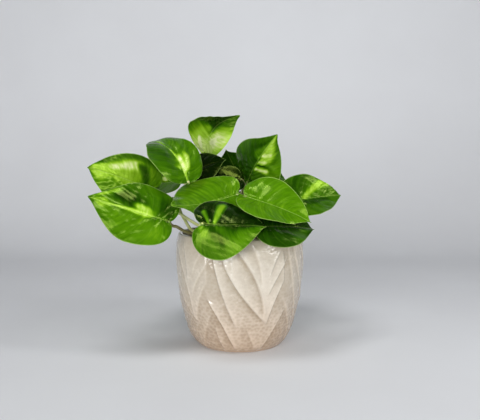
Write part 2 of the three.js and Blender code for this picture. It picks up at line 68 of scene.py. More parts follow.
def around(degrees, radius, height):
    # points on circles round the pot's axis, with 0 degrees in front
    angle = np.radians(degrees)
    return np.stack(np.broadcast_arrays(radius * np.sin(angle), -radius * np.cos(angle), height), -1)


def gridFaces(rows, columns, closed=False):
    # quads between the neighbours of a grid of points, facing columns x rows
    r = np.arange(rows - 1)[:, None] * columns
    c = np.arange(columns if closed else columns - 1)[None, :]
    d = (c + 1) % columns
    return np.stack([r + c, r + d, r + d + columns, r + c + columns], -1).reshape(-1, 4)


def fanFaces(ring, centre, flipped=False):
    # triangles from each side of a closed ring of point numbers to one centre
    after = np.roll(ring, -1)
    a, b = (after, ring) if flipped else (ring, after)
    return np.stack([a, b, np.full(len(ring), centre)], -1)


def closedRings(rings, columns):
    # the faces of stacked rings, with a fan to the point after them below, and to the next above
    ring, count = np.arange(columns), rings * columns
    return [gridFaces(rings, columns, closed=True), fanFaces(ring, count, flipped=True),
            fanFaces(ring + count - columns, count + 1)]


def makeObject(name, points, faceSets, materials, uv=None, values=None, faceMaterial=None):
    # points in mm and arrays of faces become one smooth mesh
    mesh = bpy.data.meshes.new(name)
    loops = np.concatenate([np.asarray(f).ravel() for f in faceSets])
    sizes = np.concatenate([np.full(len(f), np.shape(f)[1]) for f in faceSets])
    mesh.vertices.add(len(points))
    mesh.vertices.foreach_set("co", (np.asarray(points, float) * 0.001).ravel())
    mesh.loops.add(len(loops))
    mesh.loops.foreach_set("vertex_index", loops.astype(np.int32))
    mesh.polygons.add(len(sizes))
    mesh.polygons.foreach_set("loop_start", (np.cumsum(sizes) - sizes).astype(np.int32))
    if faceMaterial is not None:
        mesh.polygons.foreach_set("material_index", np.asarray(faceMaterial, np.int32))
    mesh.update(calc_edges=True)
    if uv is not None:
        mesh.uv_layers.new(name="surface").data.foreach_set("uv", uv[loops].astype(np.float32).ravel())
    for key, value in (values or {}).items():
        mesh.attributes.new(key, "FLOAT", "POINT").data.foreach_set(
            "value", np.asarray(value, np.float32).ravel())
    mesh.shade_smooth()
    for material in materials:
        mesh.materials.append(material)
    thing = bpy.data.objects.new(name, mesh)
    bpy.context.scene.collection.objects.link(thing)
    return thing


def addNode(tree, kind, inputs=None, output=None, **settings):
    # one node with its settings; an input is a value, a hex colour or the output that feeds it.
    # The named output goes on to other nodes, or else the first that the settings leave on.
    node = tree.nodes.new("ShaderNode" + kind)
    for key, value in settings.items():
        setattr(node, key, value)
    for key, value in (inputs or {}).items():
        if isinstance(value, bpy.types.NodeSocket):
            tree.links.new(value, node.inputs[key])
        else:
            node.inputs[key].default_value = linearColour(value) if isinstance(value, str) else value
    if output is not None:
        return node.outputs[output]
    return next((socket for socket in node.outputs if socket.enabled), None)


def newMaterial(name):
    # a material, and addNode for its tree; a Mix of colours has its share in socket 0 and the
    # two colours in 6 and 7
    material = bpy.data.materials.new(name)
    material.use_nodes = True
    material.node_tree.nodes.clear()
    return material, functools.partial(addNode, material.node_tree)


potLook = {
    "height": 131.0, "wall": 5.0, "floor": 7.0, "innerCorner": 9.0,
    "footEdge": 0.8, "rimEdge": 1.6, "plainFoot": 5.0, "plainRim": 7.0,
    "profile": [(0, 48), (4, 53), (15, 59.5), (26, 63.4), (38, 66.6), (52, 69.8), (73, 72.7),
                (97, 74.2), (115, 73.9), (125, 73.2), (131, 72.1)],  # height, radius
    "units": 5, "strengths": (1, 0.3, 0.7, 0.8, 0.55),  # how strongly each unit is pressed
    # creases of one unit: from (angle, height) to (angle, height), bow and rise of the lip
    "creases": [(-4, 122, 22, 45, 5.5, 1.5), (11, 124, 19, 84, 1.5, 0.7), (-7, 116, -7, 90, 0, 0.4),
                (-18, 124, 24, 37, -7.5, 1.6), (-26, 124, -5, 34, -2.5, 1.2),
                (-30, 62, -7, 6, 1, 1.5), (-25, 30, -19, 3, -1, 0.8), (6, 30, 17, 3, 0, 0.8),
                (40, 80, 26, 37, -1.5, -1.0), (44, 46, 25, 3, 0, -1.0),
                (45, 108, 26, 71, -1, -0.8), (38, 118, 27, 92, -1, -0.5), (41, 116, 42, 82, 0, -0.5)],
    "lipWidth": 10.0, "grooveWidth": 5.0, "lipEdge": 0.8, "creaseFade": 9.0,
    "beadRise": 0.36, "beadWidth": 1.2,  # a fine bead along each lip, as a share of its rise
    "columns": 560, "rows": 150, "edgeSteps": 6,
    # dimples pressed in between the leaves: width, height, depth, and how plain the top is
    "dimpleAcross": 5.2, "dimpleUp": 3.7, "dimpleDepth": 0.5, "dimpleJitter": 0.34,
    "dimpleTop": 0.3, "dimpleFrom": 80.0, "dimpleTo": 34.0, "dimpleBowl": 0.3,
    # how thin the glaze runs, which also paints shade into the grooves and dimples and highlight onto the
    # lips: at rest, per mm of relief, per mm of dimple, and a dimple's mean
    "thinRest": 0.5, "thinAndPaintedLightOnRelief": 0.36, "thinAndPaintedShadeOnDimple": 0.65, "dimpleMean": 0.4,
    "innerHeights": (125, 120, 116, 112, 97, 62, 38),  # of the rings down the inner wall
    "seed": 11,
}


def splinePoints(knots, count):
    # Catmull-Rom curve through the knots, with evenly shared steps per knot
    knots = np.asarray(knots, float)
    at = np.linspace(0, len(knots) - 1, count)
    i = np.minimum(at.astype(int), len(knots) - 2)
    w = (at - i)[:, None]
    before, a = knots[np.maximum(i - 1, 0)], knots[i]
    b, after = knots[i + 1], knots[np.minimum(i + 2, len(knots) - 1)]
    startSlope, endSlope = (b - before) / 2, (after - a) / 2
    return ((2 * a - 2 * b + startSlope + endSlope) * w ** 3
            + (-3 * a + 3 * b - 2 * startSlope - endSlope) * w ** 2 + startSlope * w + a)


potProfile = splinePoints(potLook["profile"], 301)


def outerRadius(z):
    # the plain wall's radius at a height, read off the profile
    return np.interp(z, potProfile[:, 0], potProfile[:, 1])


def reliefHeight(degrees, z):
    # sum over the creases of rise x (tanh(across / edge) exp(-|across| / width) + a bead), faded
    # at its ends, with across the distance in mm to the crease's curve
    p = potLook
    total = np.zeros(np.broadcast(degrees, z).shape)
    turn = 360 / p["units"]
    for fromAngle, fromZ, toAngle, toZ, bow, rise in p["creases"]:
        s = np.clip((fromZ - z) / (fromZ - toZ), -0.2, 1.2)
        middle = fromAngle + (toAngle - fromAngle) * s + 4 * bow * s * (1 - s)
        away = np.mod(degrees - middle + turn / 2, 360)
        number = np.minimum(np.floor(away / turn).astype(int), p["units"] - 1)
        across = np.sign(rise) * np.radians(away - (number + 0.5) * turn) * outerRadius(z)
        width = np.where(across > 0, p["lipWidth"], p["grooveWidth"])
        fade = (smoothStep((fromZ - z) / p["creaseFade"] + 0.5)
                * smoothStep((z - toZ) / p["creaseFade"] + 0.5))
        step = np.tanh(across / p["lipEdge"]) * np.exp(-abs(across) / width)
        bead = p["beadRise"] * bump(across - p["beadWidth"], p["beadWidth"])
        total += abs(rise) * np.array(p["strengths"])[number] * (step + bead) * fade
    return total


def dimpleHeight(degrees, z):
    # bowls of depth 1: the squared distance to the nearest of the jittered centres, which lie
    # in rows set half a step apart, cut off at the bowl's edge
    p = potLook
    rng = np.random.default_rng(p["seed"])
    count = round(2 * math.pi * outerRadius(p["dimpleTo"]) / p["dimpleAcross"])
    levels = math.ceil(p["height"] / p["dimpleUp"]) + 2
    jitter = rng.uniform(-1, 1, (count, levels, 2)) * p["dimpleJitter"]
    a = np.mod(degrees, 360) / 360 * count
    b = z / p["dimpleUp"]
    i, j = np.floor(a).astype(int), np.floor(b).astype(int)
    bowl = p["dimpleBowl"]
    nearest = np.full(np.broadcast(a, b).shape, bowl)
    for di in (-1, 0, 1):
        for dj in (-1, 0, 1):
            spot = jitter[np.mod(i + di, count), np.clip(j + dj, 0, levels - 1)]
            stagger = np.mod(j + dj, 2) / 2
            across = a - (i + di + 0.25 + stagger + spot[..., 0])
            up = b - (j + dj + 0.5 + spot[..., 1])
            nearest = np.minimum(nearest, across ** 2 + up ** 2)
    return nearest / bowl - 1


def makePot(material):
    # rings round the axis, carried up the outer wall, over the rim and down the inner wall
    p = potLook
    columns = p["columns"]
    degrees = np.arange(columns) * 360 / columns
    top = p["height"] - p["rimEdge"]
    z = np.linspace(p["footEdge"], top, p["rows"])
    level = z[:, None]
    inset = (smoothStep((level - p["footEdge"]) / p["plainFoot"])
             * smoothStep((top - level) / p["plainRim"]))
    relief = reliefHeight(degrees[None], level) * inset
    pressed = p["dimpleTop"] + (1 - p["dimpleTop"]) * smoothStep(level, p["dimpleFrom"], p["dimpleTo"])
    dimples = dimpleHeight(degrees[None], level) * p["dimpleDepth"] * pressed * inset
    quarter = np.linspace(0, math.pi / 2, p["edgeSteps"])
    sin, cos = np.sin(quarter), np.cos(quarter)
    rim = outerRadius(p["height"])
    rimInner, innerTop = rim - p["wall"] + p["rimEdge"], outerRadius(top) - p["wall"]
    down = np.array([*p["innerHeights"], p["floor"] + p["innerCorner"]])
    below = [(p["footEdge"] * (1 - cos[:-1]), outerRadius(p["footEdge"]) - p["footEdge"] * (1 - sin[:-1]))]
    drawn = outerRadius(top) - rim + p["rimEdge"]  # how far the rim's round draws in
    floorRing = outerRadius(p["floor"]) - p["wall"] - p["innerCorner"] / 2
    above = [(top + p["rimEdge"] * sin[1:], outerRadius(top) - drawn * (1 - cos[1:])),
             (top + p["rimEdge"] * cos, rimInner - (rimInner - innerTop) * sin),
             (down, outerRadius(down) - p["wall"]),
             (np.array([p["floor"]]), np.array([floorRing]))]
    heights = np.concatenate([h for h, _ in below] + [z] + [h for h, _ in above])
    plain = lambda sets: [np.repeat(r[:, None], columns, 1) for _, r in sets]
    radii = np.concatenate(plain(below) + [outerRadius(level) + relief + dimples] + plain(above))
    # how far each point stands out of the relief, where the glaze runs thin, or lies in it; the same value
    # paints shade into the hollows and highlight onto the lips
    thinGlazeAndPaintedLight = np.full(radii.shape, p["thinRest"])
    start = p["edgeSteps"] - 1
    raised = dimples + p["dimpleDepth"] * pressed * p["dimpleMean"]
    # painted shade and highlight on top of the glaze's pooling: low relief and dimple bottoms darker, lips
    # and dimple rims paler
    thinGlazeAndPaintedLight[start:start + p["rows"]] = p["thinRest"] + p["thinAndPaintedLightOnRelief"] * relief + p["thinAndPaintedShadeOnDimple"] * raised
    points = np.concatenate([around(degrees[None], radii, heights[:, None]).reshape(-1, 3),
                             [[0, 0, 0], [0, 0, p["floor"]]]])
    pot = makeObject("glazedPot", points, closedRings(len(heights), columns), [material],
                     values={"thinGlazeAndPaintedLight": np.append(np.clip(thinGlazeAndPaintedLight, 0, 1).ravel(), [p["thinRest"]] * 2)})
    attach(pot, "root")
    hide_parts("pot")


def pooledGlazeAndPaintedLight():
    # Carved stoneware under a poured cream glaze, fired glossy: it pools browner in the dimples and
    # grooves and runs thin and pale over the lips, pushed further as painted shade in the hollows and
    # painted highlight on the lips. Near the foot it carries a painted warm reflection of the floor.
    material, add = newMaterial("creamGlazeWithPaintedLight")
    place = add("TexCoord", output="Object")
    height = add("SeparateXYZ", {0: place}, output="Z")
    # painted warm reflection of the floor, full at the foot and gone 80 mm up
    paintedFloorBounce = add("MapRange", {"Value": height, 1: 0.0, 2: 0.08, 3: 1.0, 4: 0.0})
    # mottling of 5 to 10 mm, and fine specks of the clay's iron
    mottle = add("TexNoise", {"Vector": place, "Scale": 130.0, "Detail": 4.0})
    speck = add("TexNoise", {"Vector": place, "Scale": 900.0, "Detail": 2.0})
    thinGlazeAndPaintedLight = add("Attribute", attribute_name="thinGlazeAndPaintedLight", output="Fac")
    drift = add("Math", {0: mottle, 1: 0.5, 2: -0.25}, operation="MULTIPLY_ADD")
    share = add("Math", {0: thinGlazeAndPaintedLight, 1: drift}, operation="ADD", use_clamp=True)
    # brown where the glaze pools and cream where it runs thin, pushed further as painted shade in grooves
    # and dimples and painted highlight on lips
    pooledAndPaintedShade = add("Mix", {0: share, 6: "#a69781", 7: "#d9d0c1"}, data_type="RGBA")
    # the painted warm floor reflection, multiplied into the glaze
    paintedBounceTint = add("Mix", {0: paintedFloorBounce, 6: "#ffffff", 7: "#f0ddd0"}, data_type="RGBA")
    glaze = add("Mix", {0: 1.0, 6: pooledAndPaintedShade, 7: paintedBounceTint}, data_type="RGBA", blend_type="MULTIPLY")
    iron = add("MapRange", {"Value": speck, 1: 0.62, 2: 0.75, 3: 0.0, 4: 0.3})
    specked = add("Mix", {0: iron, 6: glaze, 7: "#8d775c"}, data_type="RGBA")
    ripple = add("TexNoise", {"Vector": place, "Scale": 330.0, "Detail": 2.0})
    waves = add("Bump", {"Height": ripple, "Strength": 0.25, "Distance": 0.0003})
    gloss = add("MapRange", {"Value": mottle, 1: 0.3, 2: 0.7, 3: 0.14, 4: 0.3})
    shader = add("BsdfPrincipled", {"Base Color": specked, "Roughness": gloss, "Normal": waves,
                                    "IOR": 1.5, "Coat Weight": 0.5, "Coat Roughness": 0.06})
    add("OutputMaterial", {"Surface": shader})
    return material


makePot(pooledGlazeAndPaintedLight())
print("pot made")


soilLook = {
    "top": 112.0, "mound": 3.0, "lump": 1.5, "gap": 0.35, "bottom": 38.0,
    "rings": 60, "columns": 240, "sideHeights": (38, 62, 97),
    # crumbs on it: name, how many, smallest and largest radius
    "crumbs": [("barkCrumbs", 260, 1.0, 3.0), ("perliteGrains", 60, 0.9, 1.9)],
    # crossed sines: size in mm, waves across and along, and shift
    "fine": ((0.4, 0.9, 1.1, 0.4), (0.28, 1.9, 1.6, 2.1), (0.2, 3.3, 3.7, 1.2)),
    "crumbLatitudes": (-55, -18, 18, 55), "crumbSides": 8, "crumbLift": 0.2,
    "seed": 5,
}


def soilTop(degrees, share):
    # mound and lumps, with share 0 in the middle and 1 at the wall
    angle = np.radians(degrees)
    lumps = (np.sin(4 * angle + 9 * share) * np.cos(11 * angle - 5 * share)
             + 0.5 * np.sin(18 * angle + 17 * share))
    return soilLook["top"] + soilLook["mound"] * (1 - share) + soilLook["lump"] * lumps * share


def makeSoil(material):
    # a plug of rings inside the pot's wall, and a disc of rings over it whose height is the
    # mound and lumps plus three crossed sines
    s = soilLook
    inner = lambda z: outerRadius(z) - potLook["wall"] - s["gap"]
    degrees = (np.arange(s["columns"]) * 360 / s["columns"])[None]
    share = np.linspace(1, 1 / s["rings"], s["rings"])[:, None]
    sides = np.array(s["sideHeights"], float)[:, None]
    disc = around(degrees, inner(s["top"]) * share, 0)
    fine = sum(size * np.sin(disc[..., 0] * across + shift) * np.sin(disc[..., 1] * along + 1.7 * shift)
               for size, across, along, shift in s["fine"])
    disc[..., 2] = soilTop(degrees, share) + fine * smoothStep(1 - share, 0, 0.05)
    points = np.concatenate([around(degrees, inner(sides), sides).reshape(-1, 3), disc.reshape(-1, 3),
                             [[0, 0, s["bottom"]], [0, 0, s["top"] + s["mound"]]]])
    soil = makeObject("pottingMix", points, closedRings(len(sides) + s["rings"], s["columns"]), [material])
    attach(soil, "root")
    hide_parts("soil")


def makeCrumbs(name, count, smallest, largest, material, rng):
    # balls of four rings, squashed, roughened, turned and scattered over the soil
    s = soilLook
    reach = outerRadius(s["top"]) - potLook["wall"] - s["gap"]
    latitude = np.radians(s["crumbLatitudes"])[:, None]
    longitude = np.arange(s["crumbSides"]) * 360 / s["crumbSides"]
    ball = around(longitude[None], np.cos(latitude), np.sin(latitude)).reshape(-1, 3)
    ball = np.concatenate([ball, [[0, 0, -1], [0, 0, 1]]])
    share, degrees = np.sqrt(rng.uniform(0.01, 0.93, count)), rng.uniform(0, 360, count)
    size = rng.uniform(smallest, largest, count)[:, None, None]
    squash = rng.uniform(0.45, 1.0, (count, 1, 3)) * [1, 1, 0.7]
    rough = rng.uniform(0.78, 1.22, (count, len(ball), 1))
    turn = rng.uniform(0, 2 * math.pi, count)[:, None]
    crumbs = ball[None] * size * squash * rough
    x, y = crumbs[..., 0].copy(), crumbs[..., 1].copy()
    crumbs[..., 0] = x * np.cos(turn) - y * np.sin(turn)
    crumbs[..., 1] = x * np.sin(turn) + y * np.cos(turn)
    crumbs += around(degrees, reach * share, soilTop(degrees, share) + s["crumbLift"])[:, None]
    offset = (np.arange(count) * len(ball))[:, None, None]
    ballFaces = closedRings(len(s["crumbLatitudes"]), s["crumbSides"])
    faces = [(f[None] + offset).reshape(-1, f.shape[1]) for f in ballFaces]
    piece = makeObject(name, crumbs.reshape(-1, 3), faces, [material])
    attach(piece, "root")


def crumblyMix(name, dark, light, roughness):
    # Damp peat, composted bark and perlite: matt and crumbly, with paler grains some tenths of
    # a millimetre wide, drawn about twice as coarse so that they show.
    material, add = newMaterial(name)
    place = add("TexCoord", output="Object")
    grain = add("TexNoise", {"Vector": place, "Scale": 700.0, "Detail": 6.0, "Roughness": 0.7})
    share = add("MapRange", {"Value": grain, 1: 0.35, 2: 0.7})
    colour = add("Mix", {0: share, 6: dark, 7: light}, data_type="RGBA")
    crumble = add("Bump", {"Height": grain, "Strength": 0.7, "Distance": 0.0006})
    shader = add("BsdfPrincipled", {"Base Color": colour, "Normal": crumble, "Roughness": roughness})
    add("OutputMaterial", {"Surface": shader})
    return material


makeSoil(crumblyMix("dampPeat", "#1d1510", "#4a3627", 0.95))
crumbMaterials = [crumblyMix("compostedBark", "#3a2517", "#7a5638", 0.85),
                  crumblyMix("expandedPerlite", "#cfcac0", "#f1eee6", 0.8)]
crumbDraw = np.random.default_rng(soilLook["seed"])
for (name, count, smallest, largest), material in zip(soilLook["crumbs"], crumbMaterials):
    makeCrumbs(name, count, smallest, largest, material, crumbDraw)
print("soil made")


bladeGrid = {"rows": 112, "across": 25, "thick": 0.5, "ribPower": 2.2, "lobeShare": 0.46,
             "marginWave": 0.02, "marginWaves": 2.5, "veins": 8.5, "veinBend": 0.16,
             "ribPacking": 1.35, "rimShare": 0.985, "quilt": 0.2, "sunk": 0.1, "sway": 0.3,
             "lump": 0.13, "foldRound": 0.1, "waveShift": 1.1,
             # draws for the unevenness: waves across per mm, and along per length or per mm
             "swayAcross": (0.12, 0.3), "swayAlong": (6, 14),
             "lumpAcross": (0.5, 0.9), "lumpAlong": (0.45, 0.8), "swell": (0.2, 1.8),
             # in mm: the midrib's channel above and its half width, the rise beside it with its
             # place and half width, and the ridges of the rib and the veins below
             "groove": 0.5, "grooveHalf": 0.9, "brow": 0.22, "browAt": 2.4, "browHalf": 1.3,
             "ribRise": 1.25, "ribLoss": 1.0, "ribHalf": 1.5, "ribNarrows": 0.9, "veinRidge": 0.16,
             "sunkWidth": 0.09, "ridgeWidth": 0.1, "edgeThin": 0.35,
             "halfWidth": 0.4}  # of a blade's half, as a share of its length

# base is the notch, tip the point and face the way the upper side looks. half, lobe and widest
# shape the heart; fold, bowl, arch, curl, sweep and twist bend it; left widens its left half.
# leaf_01 to leaf_15 hold values that a program fitted to outlines read off the photo, some of
# them changed since. leaf_16 to leaf_22 were chosen one by one.
leaves = {
    "leaf_01": dict(base=(-78, -66, 151), tip=(-167, -54, 177), face=(0.06, -0.84, 0.54), half=0.38,
        lobe=0.11, widest=0.35, fold=0.11, bowl=-0.19, arch=9, curl=2, sweep=-0.04, twist=-7, left=1.02),
    "leaf_02": dict(base=(-103, -5, 181), tip=(-176, -10, 207), face=(-0.39, -0.87, 0.3), half=0.39,
        lobe=0.12, widest=0.31, fold=0.23, bowl=-0.08, arch=40, curl=25, sweep=0.05, twist=-15,
        left=1.03),
    "leaf_03": dict(base=(-70, 2, 191), tip=(-121, 34, 185), face=(-0.2, -0.6, 0.75), half=0.36,
        lobe=0.12, widest=0.33, fold=0.21, bowl=-0.17, arch=-7, curl=1, sweep=-0.02, twist=-15,
        left=1.01),
    "leaf_04": dict(base=(-58, -42, 191), tip=(-108, -6, 231), face=(0.35, -0.42, 0.84), half=0.39,
        lobe=0, widest=0.34, fold=0.19, bowl=-0.18, arch=66, curl=47, sweep=-0.03, twist=-18, left=1.01),
    "leaf_05": dict(base=(-43, 42, 222), tip=(0, 4, 267), face=(-0.2, -0.95, 0.26), half=0.35, lobe=0.06,
        widest=0.37, fold=0.36, bowl=0.44, arch=-1, curl=-6, sweep=-0.69, twist=45, left=0.95),
    "leaf_06": dict(base=(-60, 20, 200), tip=(-16, -6, 216), face=(-0.1, -0.92, 0.38), half=0.38,
        lobe=0.13, widest=0.32, fold=0.06, bowl=-0.23, arch=6, curl=6, sweep=0.03, twist=-3, left=0.98),
    "leaf_07": dict(base=(5, 62, 184), tip=(-17, 36, 227), face=(-0.42, -0.69, 0.59), half=0.5, lobe=0.13,
        widest=0.39, fold=0, bowl=-0.2, arch=11, curl=1, sweep=-0.03, twist=0, left=1.03),
    "leaf_08": dict(base=(0, 22, 191), tip=(-41, 8, 184), face=(0.02, -0.85, 0.5), half=0.42, lobe=0.11,
        widest=0.27, fold=0.38, bowl=0.13, arch=-41, curl=-8, sweep=0.03, twist=28, left=1),
    "leaf_09": dict(base=(-4, -23, 177), tip=(-73, -80, 171), face=(0.27, -0.68, 0.68), half=0.43,
        lobe=0.14, widest=0.35, fold=0.13, bowl=-0.22, arch=-30, curl=-10, sweep=0, twist=19, left=1),
    "leaf_10": dict(base=(-39, -89, 151), tip=(28, -88, 148), face=(-0.11, -0.85, 0.51), half=0.52,
        lobe=0.19, widest=0.31, fold=-0.07, bowl=-0.34, arch=-3, curl=11, sweep=0, twist=-12, left=0.99),
    "leaf_11": dict(base=(17, -77, 147), tip=(82, -49, 140), face=(0.12, -0.67, 0.73), half=0.42,
        lobe=0.09, widest=0.37, fold=0.21, bowl=-0.16, arch=14, curl=14, sweep=0.06, twist=2, left=1),
    "leaf_12": dict(base=(7, -53, 177), tip=(77, -70, 150), face=(0.16, -0.65, 0.75), half=0.38,
        lobe=0.11, widest=0.33, fold=0.43, bowl=-0.11, arch=13, curl=13, sweep=0.04, twist=14, left=1.01),
    "leaf_13": dict(base=(9, 8, 189), tip=(41, -44, 245), face=(-0.06, -0.87, 0.49), half=0.4, lobe=0.1,
        widest=0.32, fold=-0.12, bowl=-0.06, arch=34, curl=-7, sweep=-0.02, twist=42, left=0.94),
    "leaf_14": dict(base=(56, -25, 170), tip=(118, -3, 174), face=(0.29, -0.71, 0.64), half=0.42,
        lobe=0.16, widest=0.35, fold=0.29, bowl=0, arch=19, curl=5, sweep=0.07, twist=-2, left=1.02),
    "leaf_15": dict(base=(22, 32, 205), tip=(63, 28, 175), face=(0.4, -0.53, 0.74), half=0.39, lobe=0.13,
        widest=0.35, fold=0.19, bowl=0, arch=9, curl=2, sweep=0, twist=-13, left=1),
    "leaf_16": dict(base=(-47, 44, 162), tip=(-113, 78, 142), face=(-0.3, 0.35, 0.88), half=0.4,
        lobe=0.13, widest=0.33, fold=0.2, bowl=-0.15, arch=35, curl=15, sweep=0.03, twist=0, left=1),
    "leaf_17": dict(base=(-50, 58, 206), tip=(-80, 112, 190), face=(-0.25, 0.35, 0.9), half=0.4,
        lobe=0.13, widest=0.33, fold=0.15, bowl=-0.15, arch=30, curl=15, sweep=-0.03, twist=10, left=1),
    "leaf_18": dict(base=(-12, 74, 172), tip=(-24, 138, 144), face=(0, 0.5, 0.86), half=0.41, lobe=0.13,
        widest=0.33, fold=0.15, bowl=-0.2, arch=30, curl=20, sweep=-0.03, twist=5, left=1),
    "leaf_19": dict(base=(18, 70, 203), tip=(38, 128, 187), face=(0.1, 0.3, 0.95), half=0.39, lobe=0.12,
        widest=0.33, fold=0.25, bowl=-0.1, arch=35, curl=15, sweep=0.03, twist=-8, left=1),
    "leaf_20": dict(base=(26, 54, 150), tip=(42, 112, 126), face=(0.1, 0.5, 0.86), half=0.42, lobe=0.14,
        widest=0.33, fold=0.15, bowl=-0.15, arch=30, curl=15, sweep=0.03, twist=5, left=1),
    "leaf_21": dict(base=(34, 72, 172), tip=(78, 116, 148), face=(0.35, 0.4, 0.85), half=0.4, lobe=0.14,
        widest=0.33, fold=0.2, bowl=-0.1, arch=30, curl=15, sweep=0.04, twist=-5, left=1),
    "leaf_22": dict(base=(66, 32, 164), tip=(116, 58, 156), face=(0.3, 0.1, 0.95), half=0.41, lobe=0.13,
        widest=0.34, fold=0.25, bowl=-0.12, arch=32, curl=16, sweep=-0.03, twist=6, left=1),
}
